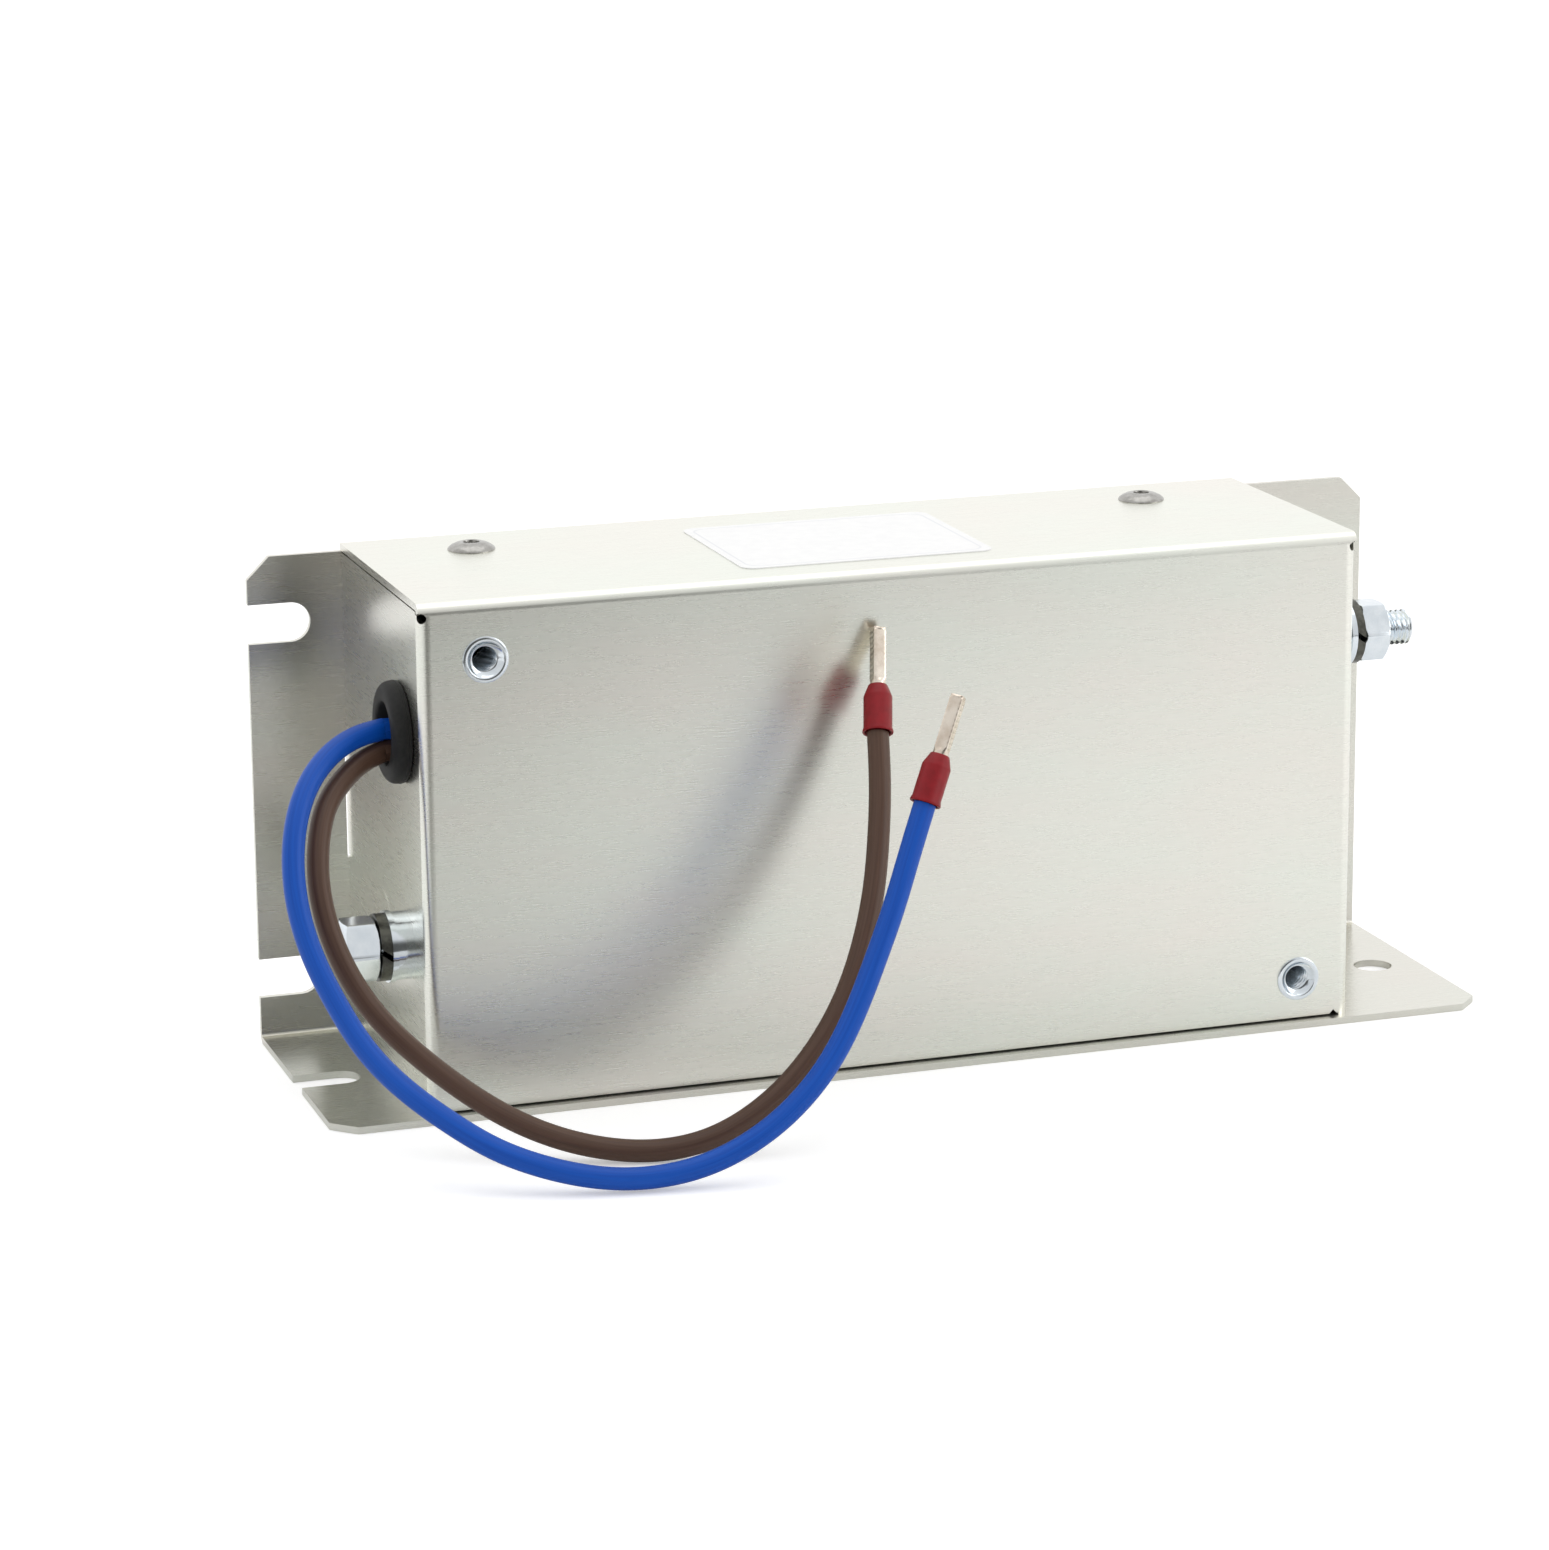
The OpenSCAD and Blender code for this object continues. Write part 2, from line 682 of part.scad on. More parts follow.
module terminal_screws() {
    color("silver") placed() for (z = term_zs) difference() {
        union() {
            bar_y(term_y - 2.3, 2, term_screw_x, z, 2.9);
            bar_y(term_y - 4, 2.2, term_screw_x, z, 4);
        }
        translate([term_screw_x - 3, term_y - 7, z - 0.3]) cube([6, 1.6, 0.6]);
    }
}

// --- circuit board -------------------------------------------------------------------------------------

module board() {
    color("darkgreen") placed() difference() {
        translate([board_x, board_face, board_z]) cube([board_l, board_t, board_h]);
        for (h = board_holes) bar_y(board_back + 1, board_t + 2, h[0], h[1], standoff_bore + 0.2);
        for (h = pin_holes) bar_y(board_back + 1, board_t + 2, h[0], h[1], h[2] + pin_clear, 16);
    }
}

module liner() {
    color("ivory") placed() difference() {
        translate([board_x - liner_over, -sheet_t - liner_t, board_z - liner_over])
            cube([board_l + 2 * liner_over, liner_t, board_h + 2 * liner_over]);
        for (h = board_holes) bar_y(0, 2 * sheet_t + liner_t, h[0], h[1], standoff_d + 0.4);
    }
}

module standoffs() {
    color("silver") placed() for (h = board_holes) difference() {
        union() {
            bar_y(-sheet_t, board_gap, h[0], h[1], standoff_d);
            bar_y(0, sheet_t, h[0], h[1], standoff_neck_d);
        }
        bar_y(1, sheet_t + board_gap + 2, h[0], h[1], standoff_bore);
    }
}

module board_screws() {
    color("silver") placed() for (h = board_holes) difference() {
        union() {
            bar_y(board_face + board_screw_l, board_screw_l, h[0], h[1], board_screw_d);
            bar_y(board_face, board_screw_head_h, h[0], h[1], board_screw_head_d);
        }
        for (a = [0, 90]) translate([h[0], board_face - board_screw_head_h, h[1]]) rotate([0, a, 0])
            cube([3, 2, 0.7], center = true);
    }
}

// Places a shape that stands along +Z on the board, pointing to the front
module on_board(x, z) {
    translate([x, board_face, z]) rotate([90, 0, 0]) children();
}

module choke_base() {
    color("black") placed() on_board(choke_x, choke_z) difference() {
        cylinder(h = choke_base_t, d = core_od + 5, $fn = 64);
        translate([0, 0, -1]) cylinder(h = 4, d = core_id - 6);
        for (mid = [0, 180], t = [0, last_turn])
            rotate(coil_angle(t, mid)) translate([coil_mid_r + coil_a, 0, -1]) cylinder(h = 4, d = wire_d + 0.8);
    }
}

module choke_core() {
    c = 1;
    color("darkolivegreen") placed() translate([choke_x, choke_y, choke_z]) rotate([90, 0, 0])
        rotate_extrude($fn = 72) polygon([
            [core_id / 2 + c, -core_h / 2], [core_od / 2 - c, -core_h / 2], [core_od / 2, -core_h / 2 + c],
            [core_od / 2, core_h / 2 - c], [core_od / 2 - c, core_h / 2], [core_id / 2 + c, core_h / 2],
            [core_id / 2, core_h / 2 - c], [core_id / 2, -core_h / 2 + c]
        ]);
}

last_turn = turns - 0.14;
coil_span = min(150, (turns - 1) * 1.08 * (wire_d + 0.05) / (core_id / 2 - coil_off) * 180 / PI);

// Half width and half height of one turn, measured to the wire's centre
coil_a = (core_od - core_id) / 4 + coil_off;
coil_b = core_h / 2 + coil_off;
coil_mid_r = (core_od + core_id) / 4;

// One turn follows a rounded rectangle (superellipse) while the whole coil turns slowly round the core.
// Turn 0 starts on the outside of the core at half its height.
function coil_angle(t, mid) = mid + coil_span * (t / turns - 0.5);

function turn_point(t, mid) =
    let (
        squareness = 0.32,
        u = coil_a * sign(cos(360 * t)) * pow(abs(cos(360 * t)), squareness),
        w = coil_b * sign(sin(360 * t)) * pow(abs(sin(360 * t)), squareness),
        swing = coil_angle(t, mid),
        r = coil_mid_r + u
    ) [r * cos(swing), r * sin(swing), w];

// Where a wire end meets the board, straight below the outside of the coil
function coil_foot(t, mid) =
    let (swing = coil_angle(t, mid), r = coil_mid_r + coil_a)
    [r * cos(swing), r * sin(swing), choke_y - board_face];

module winding(mid) {
    ts = [for (i = [0 : floor(last_turn * coil_steps)]) i / coil_steps];
    path = concat([coil_foot(0, mid)], [for (t = ts) turn_point(t, mid)], [coil_foot(last_turn, mid)]);
    swings = concat([0], ts, [last_turn]);
    side_dirs = [for (t = swings) [-sin(coil_angle(t, mid)), cos(coil_angle(t, mid)), 0]];
    translate([choke_x, choke_y, choke_z]) rotate([90, 0, 0])
        tube(path, wire_d, coil_sides, [0, 0, 1], [0, 0, -1], side_dirs);
}

module winding_line() {
    color("peru") placed() winding(0);
}

module winding_neutral() {
    color("peru") placed() winding(180);
}

// A pin that stands on the board's face and passes through it
module board_pin(d, above) {
    translate([0, 0, -board_t - pin_tail]) cylinder(h = board_t + pin_tail + above, d = d);
}

// Box capacitor with its long side upright and two pins through the board
module box_capacitor(at) {
    on_board(at[0], at[1]) {
        difference() {
            translate([-xcap_w / 2, -xcap_l / 2, 0]) cube([xcap_w, xcap_l, xcap_h]);
            for (s = [-1, 1]) translate([s * xcap_w / 2, 0, xcap_h]) rotate([0, 45, 0])
                cube([1, xcap_l + 2, 1], center = true);
        }
        for (s = [-0.5, 0.5]) translate([0, s * xcap_pin_pitch, 0]) board_pin(xcap_pin_d, 1);
    }
}

module xcap_line() {
    color("goldenrod") placed() box_capacitor(xcap_at[0]);
}

module xcap_load() {
    color("goldenrod") placed() box_capacitor(xcap_at[1]);
}

// Disc capacitor standing on its two leads
module disc_capacitor(at) {
    disc_t = 4;
    lift = 1.5;
    on_board(at[0], at[1]) {
        translate([0, disc_t / 2, ycap_d / 2 + lift]) rotate([90, 0, 0]) cylinder(h = disc_t, d = ycap_d);
        for (s = [-0.5, 0.5]) translate([s * ycap_pin_pitch, 0, 0]) board_pin(ycap_pin_d, lift + 1.6);
    }
}

module ycap_line() {
    color("royalblue") placed() disc_capacitor(ycap_at[0]);
}

module ycap_neutral() {
    color("royalblue") placed() disc_capacitor(ycap_at[1]);
}

// Axial resistor lying along the board with bent leads
module bleeder() {
    lift = 1.6;
    body_l = 6.6;
    lead_l = (bleeder_pin_pitch - body_l) / 2 + 0.1;
    color("tan") placed() on_board(bleeder_at[0], bleeder_at[1]) {
        translate([-body_l / 2, 0, lift]) rotate([0, 90, 0]) cylinder(h = body_l, d = 2.6);
        for (s = [-1, 1]) {
            translate([s * (body_l / 2 - 0.1), 0, lift]) rotate([0, s * 90, 0])
                cylinder(h = lead_l + bleeder_pin_d / 2, d = bleeder_pin_d);
            translate([s * bleeder_pin_pitch / 2, 0, 0]) board_pin(bleeder_pin_d, lift + bleeder_pin_d / 2);
        }
    }
}

// --- inside leads --------------------------------------------------------------------------------------

// A lead that stays at one height and ends square on the board
module inside_lead(path, d, first_dir) {
    tube(path, d, lead_sides, first_dir, [0, 1, 0], [for (p = path) [0, 0, 1]]);
}

// From the grommet straight in, then down to the board
function inner_path(z) = [
    [exit_x, -grommet_y, z], [sheet_t + 3, -grommet_y, z], [inner_x - 8, -grommet_y + 0.6, z],
    [inner_x - 4.5, -grommet_y + 2.5, z], [inner_x - 1.5, -grommet_y + 6, z], [inner_x, -grommet_y + 11, z],
    [inner_x, -grommet_y + 16, z], [inner_x, board_face, z]
];

module inner_blue() {
    color("royalblue") placed() inside_lead(inner_path(blue_z), lead_d, [1, 0, 0]);
}

module inner_brown() {
    color("saddlebrown") placed() inside_lead(inner_path(brown_z), lead_d, [1, 0, 0]);
}

// From a clamp's solder tag to the board beside the line capacitor
function link_path(z) =
    let (x0 = case_l - term_in - tag_past, x1 = board_x + board_l - 3.5)
    [[x0, term_y, z], [x0 - 2, term_y + 0.4, z], [x1 + 1.4, term_y + 2, z], [x1, term_y + 5, z], [x1, board_face, z]];

module link_line() {
    color("saddlebrown") placed() inside_lead(link_path(term_zs[1]), link_d, [-1, 0, 0]);
}

module link_neutral() {
    color("royalblue") placed() inside_lead(link_path(term_zs[0]), link_d, [-1, 0, 0]);
}

chassis();
cover();
cover_rivets();
insert_upper();
insert_lower();
label();
grommet();
lead_blue();
lead_brown();
sleeve_blue();
sleeve_brown();
pin_blue();
pin_brown();
earth_stud_load();
earth_spacer_load();
earth_washer_load();
earth_spring_load();
earth_nut_load();
earth_stud_line();
earth_spacer_line();
earth_washer_line();
earth_spring_line();
earth_nut_line();
terminal_block();
clamp_line();
clamp_neutral();
terminal_screws();
board();
liner();
standoffs();
board_screws();
choke_core();
choke_base();
winding_line();
winding_neutral();
xcap_line();
xcap_load();
ycap_line();
ycap_neutral();
bleeder();
inner_blue();
inner_brown();
link_line();
link_neutral();
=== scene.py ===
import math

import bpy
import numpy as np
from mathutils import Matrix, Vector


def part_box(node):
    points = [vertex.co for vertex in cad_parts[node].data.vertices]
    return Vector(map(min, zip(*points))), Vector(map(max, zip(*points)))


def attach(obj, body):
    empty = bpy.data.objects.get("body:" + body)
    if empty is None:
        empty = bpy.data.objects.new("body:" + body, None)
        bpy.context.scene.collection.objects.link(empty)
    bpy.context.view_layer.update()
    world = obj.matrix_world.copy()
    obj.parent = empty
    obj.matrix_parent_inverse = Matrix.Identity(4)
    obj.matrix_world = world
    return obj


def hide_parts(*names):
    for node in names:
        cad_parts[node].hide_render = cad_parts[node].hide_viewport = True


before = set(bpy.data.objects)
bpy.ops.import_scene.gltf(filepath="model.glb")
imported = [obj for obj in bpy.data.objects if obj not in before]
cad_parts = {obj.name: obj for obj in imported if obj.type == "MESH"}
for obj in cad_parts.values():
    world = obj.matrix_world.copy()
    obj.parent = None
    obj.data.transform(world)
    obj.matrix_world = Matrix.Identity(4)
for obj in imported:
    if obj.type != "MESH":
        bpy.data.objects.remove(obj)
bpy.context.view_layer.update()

# %% [markdown]
# # A footprint line filter, dressed for its portrait
#
# The filter is a closed aluminium box that is screwed to a cabinet wall, with a motor drive on its front.
# This lesson gives each solid its finish, and swaps the small turned and moulded pieces for finer surfaces
# worked out with numpy. Positions are read from the solids' boxes.

MM = 0.001

# %% [markdown]
# ## The camera
# A long lens from the front left keeps the box's edges nearly parallel, which is how a catalogue picture is
# taken. The camera stands about 0.7 m away, 13 degrees above the surface. A small shift of the lens moves
# the object in the picture without turning the camera.

# %% Camera
CAMERA_AT = [-0.22287, -0.62503, 0.20654]
AZIMUTH, ELEVATION, ROLL = np.radians([-18.765, 12.978, -0.404])


def camera_axes(azimuth, elevation, roll):
    """Right, up and backward. Two angles give the view direction, and the roll turns right and up about
    it."""
    level = math.cos(elevation)
    back = np.array([math.sin(azimuth) * level, -math.cos(azimuth) * level, math.sin(elevation)])
    right = np.cross(-back, [0, 0, 1])
    right /= np.linalg.norm(right)
    up = np.cross(back, right)
    return right * math.cos(roll) + up * math.sin(roll), up * math.cos(roll) - right * math.sin(roll), back


lens = bpy.data.cameras.new("camera")
lens.sensor_width = 36
lens.sensor_fit = "HORIZONTAL"
lens.lens = 112.9
lens.shift_x = -0.0192
lens.shift_y = -0.0750
camera = bpy.data.objects.new("camera", lens)
stand = np.eye(4)
stand[:3, :3] = np.array(camera_axes(AZIMUTH, ELEVATION, ROLL)).T
stand[:3, 3] = CAMERA_AT
camera.matrix_world = Matrix(stand.tolist())
bpy.context.scene.collection.objects.link(camera)
bpy.context.scene.camera = camera
print("camera stands", round(float(np.linalg.norm(CAMERA_AT)), 3), "m from the origin")

# %% [markdown]
# ## Helpers for surfaces
# Every new piece is a grid of points: rings one after another, each with the same number of points. Once the
# grid is computed, the faces follow from the grid's own numbering, so one helper can skin them all. When a
# ring runs counter-clockwise round the direction in which the rings advance, the faces point outwards.

# %% Skinning a grid
def skin(grid, ring_loop=False, caps=True):
    """Quads between neighbouring points of a (rings, points, 3) grid whose rings are closed. ring_loop joins
    the last ring to the first. Otherwise caps closes the two end rings."""
    rings, count = grid.shape[:2]
    index = np.arange(rings * count).reshape(rings, count)
    here = index if ring_loop else index[:-1]
    there = np.roll(index, -1, axis=0) if ring_loop else index[1:]
    quads = np.stack([here, np.roll(here, -1, axis=1), np.roll(there, -1, axis=1), there], axis=-1)
    faces = quads.reshape(-1, 4).tolist()
    if caps and not ring_loop:
        faces += [index[0, ::-1].tolist(), index[-1].tolist()]
    return grid.reshape(-1, 3), faces


def join(parts):
    """One list of points and faces from several, with the faces renumbered."""
    points, faces, start = [], [], 0
    for part_points, part_faces in parts:
        points.append(part_points)
        faces += [[corner + start for corner in face] for face in part_faces]
        start += len(part_points)
    return np.concatenate(points), faces


def make_piece(name, shape, replaces=(), sharp=40.0):
    """Puts points and faces into a mesh object that rides on the body and stands for CAD nodes, which it
    hides. Edges that turn by more than sharp degrees stay crisp."""
    points, faces = shape
    mesh = bpy.data.meshes.new(name)
    mesh.from_pydata(points.tolist(), [], faces)
    mesh.update()
    mesh.shade_smooth()
    mesh.set_sharp_from_angle(angle=math.radians(sharp))
    piece = bpy.data.objects.new(name, mesh)
    bpy.context.scene.collection.objects.link(piece)
    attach(piece, "root")
    if replaces:
        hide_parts(*replaces)
    print(f"{name}: {len(faces)} faces")
    return piece


# %% [markdown]
# Turned pieces such as rivets and studs are a profile carried round an axis. The profile is a list of
# (radius, height) pairs that runs up the outside and down the inside, so that the faces point out of the
# metal. A second helper lays such a shape, made about +Z, along any direction.

# %% Turning and placing
def round_angles(sides):
    """Equal steps round a full turn."""
    return np.linspace(0, 2 * math.pi, sides, endpoint=False)


def rings_of(radius, height, angle):
    """Points at radius times (cos, sin) of the angle, at their height. Both may vary from ring to ring."""
    return np.stack([radius * np.cos(angle), radius * np.sin(angle), height + 0 * angle], axis=-1)


def plain_rings(profile, sides):
    """Each (radius, height) pair of a profile makes one round ring, in millimetres."""
    profile = np.array(profile, float)
    return rings_of(profile[:, :1], profile[:, 1:], round_angles(sides))


def turn(profile, sides=64, closed=True):
    """A profile carried round the axis. A closed one joins its last point to its first."""
    return skin(plain_rings(profile, sides) * MM, ring_loop=closed)


def lay(shape, at, along, side=(0, 0, 1)):
    """Turns a shape's own +Z to a direction, its +X as near as possible to side, and moves it into place."""
    points, faces = shape
    along = np.array(along, float) / np.linalg.norm(along)
    across = np.cross(np.cross(along, side), along)
    across = across / np.linalg.norm(across)
    axes = np.array([across, np.cross(along, across), along])
    return points @ axes + np.array(at), faces


def arc(centre, radius, start, end, steps=6):
    """A round corner in a profile: centre plus radius times (cos, sin), from start to end in degrees."""
    angle = np.radians(np.linspace(start, end, steps))
    return [(centre[0] + radius * math.cos(a), centre[1] + radius * math.sin(a)) for a in angle]


def middle(node):
    """A node's box: its middle, its low corner and its high corner, in metres."""
    low, high = np.array(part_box(node))
    return (low + high) / 2, low, high


# %% [markdown]
# ## The two load leads
# Each lead is 1.5 mm2 stranded wire in PVC, 3 mm thick and about 16 cm long. It is stiff enough to stand by
# itself: it leaves the grommet level, swings down to the surface in front of the case and rises again. The
# route is a short list of given points, in millimetres from the point where the lead leaves the
# grommet. A natural cubic curve through them gives the smooth line, and a ring is carried along it. Each
# lead also has the height of its exit above the grommet's axis, the direction of its last stretch, and the
# direction that its ferrule's toothed side faces.

# %% Routes of the leads
BLUE_ROUTE = [
    [0, 0, 0], [-3, -0.9, -0.3], [-6.7, -2.8, -1.3], [-10.4, -5.7, -3.4], [-13.5, -9.2, -6.9],
    [-15.5, -12.9, -11.9], [-16, -16.3, -18], [-15, -19.7, -24.2],
    [-12.8, -23.6, -30.2], [-10, -28.2, -35.5],
    [-6.2, -33, -39.7], [-1.5, -37.3, -43.3], [3.5, -40.9, -46.3],
    [9.5, -44.1, -48.5], [16.1, -46.3, -49.9],
    [23, -47.7, -50.1], [29.9, -48.5, -48.8], [36.3, -48.9, -45.9], [42.1, -48.5, -41.8],
    [46.9, -47.5, -36.8], [50.8, -46, -31], [54.1, -44.3, -25], [57.2, -42.5, -19],
    [60.1, -40.6, -12.6], [62.9, -38.8, -6.5],
]
BROWN_ROUTE = [
    [0, 0, 0], [-2.9, -1.2, -0.8], [-6.1, -3.3, -2.4], [-9.3, -6.4, -5], [-11.4, -9.9, -9.1],
    [-12.2, -13, -14.4], [-11.4, -15.6, -20.4], [-9.2, -17.7, -26.2],
    [-5.8, -19.8, -31.5], [-1.5, -22.3, -36],
    [3.1, -25.6, -39.8], [8.2, -29.1, -43.1], [13.7, -32.2, -45.5], [19.8, -34.8, -47], [26.3, -36.8, -47.4],
    [32.9, -38, -46.3], [39.1, -38.3, -43.5], [44.5, -38, -39.5], [49.3, -37, -34.5], [53.2, -35.4, -29],
    [56.3, -33.2, -23], [58.7, -30.5, -17], [60.5, -27.4, -11], [62, -23.9, -4.7], [63.1, -20.1, 1.7],
]
LEADS = {
    "blue": {"route": BLUE_ROUTE, "above_axis": 0.5,
             "end": [0.41, 0.26, 0.87], "face": [-0.53, -0.71, 0.46]},
    "brown": {"route": BROWN_ROUTE, "above_axis": -2.5,
              "end": [0.19, 0.52, 0.83], "face": [0.08, -0.85, 0.52]},
}
LEAD_D = 3.0
grommet_middle, grommet_low, _ = middle("grommet")
for lead in LEADS.values():
    lead["exit"] = np.array([grommet_low[0], grommet_middle[1], grommet_middle[2] + lead["above_axis"] * MM])
    lead["points"] = np.array(lead["route"]) * MM + lead["exit"]
print("exits:", {name: lead["exit"].round(4).tolist() for name, lead in LEADS.items()})


# %% A smooth line through the points
def smooth_line(points, count):
    """A natural cubic curve through the points. Its second derivatives come from one linear system, in which
    neighbouring pieces share slope and curvature and the ends are straight."""
    gaps = np.linalg.norm(np.diff(points, axis=0), axis=1)
    knots = np.concatenate([[0], np.cumsum(gaps)])
    n = len(points)
    system, right = np.eye(n), np.zeros((n, 3))
    for i in range(1, n - 1):
        system[i, i - 1:i + 2] = gaps[i - 1], 2 * (gaps[i - 1] + gaps[i]), gaps[i]
        right[i] = 6 * ((points[i + 1] - points[i]) / gaps[i] - (points[i] - points[i - 1]) / gaps[i - 1])
    bend = np.linalg.solve(system, right)
    at = np.linspace(0, knots[-1], count)
    k = np.clip(np.searchsorted(knots, at, side="right") - 1, 0, n - 2)
    h, a, b = gaps[k][:, None], (knots[k + 1] - at)[:, None], (at - knots[k])[:, None]
    return ((bend[k] * a ** 3 + bend[k + 1] * b ** 3) / (6 * h)
            + (points[k] / h - bend[k] * h / 6) * a + (points[k + 1] / h - bend[k + 1] * h / 6) * b)


def sweep(line, radius, sides, first=None, last=None):
    """A round section carried along a line. Each ring's first axis is the one before, laid square to the new
    direction, so that the tube doesn't twist."""
    ahead = np.gradient(line, axis=0)
    ahead[0] = ahead[0] if first is None else first
    ahead[-1] = ahead[-1] if last is None else last
    ahead /= np.linalg.norm(ahead, axis=1, keepdims=True)
    side = np.cross(ahead[0], [0, 0, 1.0])
    sides_at = []
    for direction in ahead:
        side = side - direction * (side @ direction)
        side /= np.linalg.norm(side)
        sides_at.append(side)
    side = np.array(sides_at)[:, None]
    other = np.cross(ahead, side[:, 0])[:, None]
    angle = round_angles(sides)[None, :, None]
    return skin(line[:, None] + radius * (np.cos(angle) * side + np.sin(angle) * other))


def add_strip_map(piece, rings, sides, length):
    """A map for a tube: U runs once round it and V along it in metres, so a pattern follows the wire."""
    across, along = np.meshgrid(np.arange(sides) / sides, np.linspace(0, length, rings))
    per_point = np.stack([across.ravel(), along.ravel()], axis=-1)
    corners = np.empty(len(piece.data.loops), dtype=np.int64)
    piece.data.loops.foreach_get("vertex_index", corners)
    layer = piece.data.uv_layers.new(name="along")
    layer.data.foreach_set("uv", per_point[corners].ravel())


# %% Leads
LEAD_RINGS, LEAD_SIDES = 240, 28
for name, lead in LEADS.items():
    line = smooth_line(lead["points"], LEAD_RINGS)
    lead["line"], lead["length"] = line, float(np.linalg.norm(np.diff(line, axis=0), axis=1).sum())
    shape = sweep(line, LEAD_D / 2 * MM, LEAD_SIDES, first=[-1, 0, 0], last=lead["end"])
    lead["piece"] = make_piece(f"wire_{name}", shape, [f"lead_{name}"])
    add_strip_map(lead["piece"], LEAD_RINGS, LEAD_SIDES, lead["length"])
    print(name, "lead:", round(lead["length"] * 1000, 1), "mm")

# %% [markdown]
# ## Ferrules
# A ferrule is a red plastic sleeve on a tinned copper tube. The sleeve's mouth is a little flared so that
# the strands find their way in, and its other end is a short cone. The tube has been crimped: the tool
# squeezes its round section nearly square and leaves a row of small teeth marks. The sleeve is turned; the
# tube's section changes along its length, so it is a grid in which the radius depends on both parameters.

# %% Sleeves
SLEEVE_L, PIN_L = 6.8, 8.2
SLEEVE_R, PIN_R = 1.95, 1.05
CONE_L = 1.7
CRIMP_SHARE, CRIMP_START = 0.88, 0.4
TOOTH_STEP, TOOTH_DEPTH = 0.78, 0.13


def sleeve_shape():
    """Flared mouth, straight body, short cone, and the bore that hugs the wire and then the pin."""
    wire_bore = LEAD_D / 2 + 0.02
    mouth = [(SLEEVE_R + 0.1, 0.0), (SLEEVE_R + 0.16, 0.12), (SLEEVE_R + 0.12, 0.35), (SLEEVE_R, 0.75)]
    cone = [(SLEEVE_R, SLEEVE_L - CONE_L), (SLEEVE_R - 0.06, SLEEVE_L - CONE_L + 0.2),
            (PIN_R + 0.3, SLEEVE_L - 0.15), (PIN_R + 0.2, SLEEVE_L)]
    inside = [(PIN_R, SLEEVE_L), (PIN_R, 0.9 * SLEEVE_L), (wire_bore, 0.66 * SLEEVE_L),
              (wire_bore, 0.6), (LEAD_D / 2 + 0.3, 0.05)]
    return turn(mouth + cone + inside, sides=48)


def pin_shape():
    """Radius = a rounded square's, blended with a circle's at both ends of the crimp. On two opposite faces
    the crimping tool's teeth leave dents: a cosine along the tube, kept where it is positive. The far end is
    open, with the strands' ends a little inside."""
    along = np.concatenate([np.linspace(-2.5, CRIMP_START, 5), np.linspace(0.5, PIN_L - 0.2, 140)])
    angle = round_angles(64)
    square = (np.abs(np.cos(angle)) ** 9 + np.abs(np.sin(angle)) ** 9) ** (-1 / 9)
    crimp = np.clip((along - CRIMP_START) / 0.5, 0, 1) * np.clip((PIN_L - 0.15 - along) / 0.3, 0.4, 1)
    teeth = TOOTH_DEPTH * np.clip(np.cos(along / TOOTH_STEP * 2 * math.pi) + 0.15, 0, 1) ** 0.7
    toothed = np.abs(np.sin(angle)) ** 6
    radius = (PIN_R * (1 - crimp[:, None] * (1 - CRIMP_SHARE * square))
              - (teeth * crimp)[:, None] * toothed)
    tube = rings_of(radius, along[:, None], angle)
    rim = np.array([(0.99, PIN_L - 0.05), (0.95, PIN_L), (0.80, PIN_L), (0.76, PIN_L - 0.1),
                    (0.74, PIN_L - 1.1), (0.05, PIN_L - 0.95)])
    mouth = rings_of(rim[:, :1] * square, rim[:, 1:], angle) * [0.9, 0.9, 1]
    return skin(np.concatenate([tube, mouth]) * MM)


for name, lead in LEADS.items():
    start = lead["points"][-1]
    along = np.array(lead["end"]) / np.linalg.norm(lead["end"])
    lead["sleeve"] = make_piece(f"ferrule_sleeve_{name}", lay(sleeve_shape(), start, along),
                                [f"sleeve_{name}"])
    pin = lay(pin_shape(), start + along * SLEEVE_L * MM, along, side=lead["face"])
    lead["pin"] = make_piece(f"ferrule_pin_{name}", pin, [f"pin_{name}"], sharp=35)

# %% [markdown]
# ## Grommet
# A moulded rubber ring lines the hole in the end wall. It is turned from one profile: a fat outer lip with a
# rounded shoulder, a neck in the sheet and a thin inner lip. A faint mould line runs round the lip.

# %% Grommet
LIP_R, LIP_T = 6.95, 2.5


def grommet_shape():
    """The profile runs up the outside from the inner lip to the outer face, then back down the bore."""
    lip, neck, bore = LIP_R, 4.9, 4.2
    roll = 1.45
    outside = [(bore + 0.2, -3.4), (lip - 0.9, -3.4), (lip - 0.6, -3.1), (lip - 0.6, -1.3),
               (lip - 0.8, -1.02), (neck, -1.0), (neck, -0.02), (lip - 0.35, 0.0), (lip - 0.08, 0.12),
               (lip, 0.4), (lip, 0.62), (lip + 0.06, 0.68), (lip, 0.74), (lip, LIP_T - roll)]
    shoulder = arc((lip - roll, LIP_T - roll), roll, 8, 90, 9)
    inside = [(bore + 0.75, LIP_T)] + arc((bore + 0.5, LIP_T - 0.5), 0.5, 90, 180, 5) + [(bore, -3.2)]
    return turn(outside + shoulder + inside, sides=96)


wall_x = grommet_low[0] + LIP_T * MM
make_piece("moulded_grommet",
           lay(grommet_shape(), [wall_x, grommet_middle[1], grommet_middle[2]], [-1, 0, 0]),
           ["grommet"])

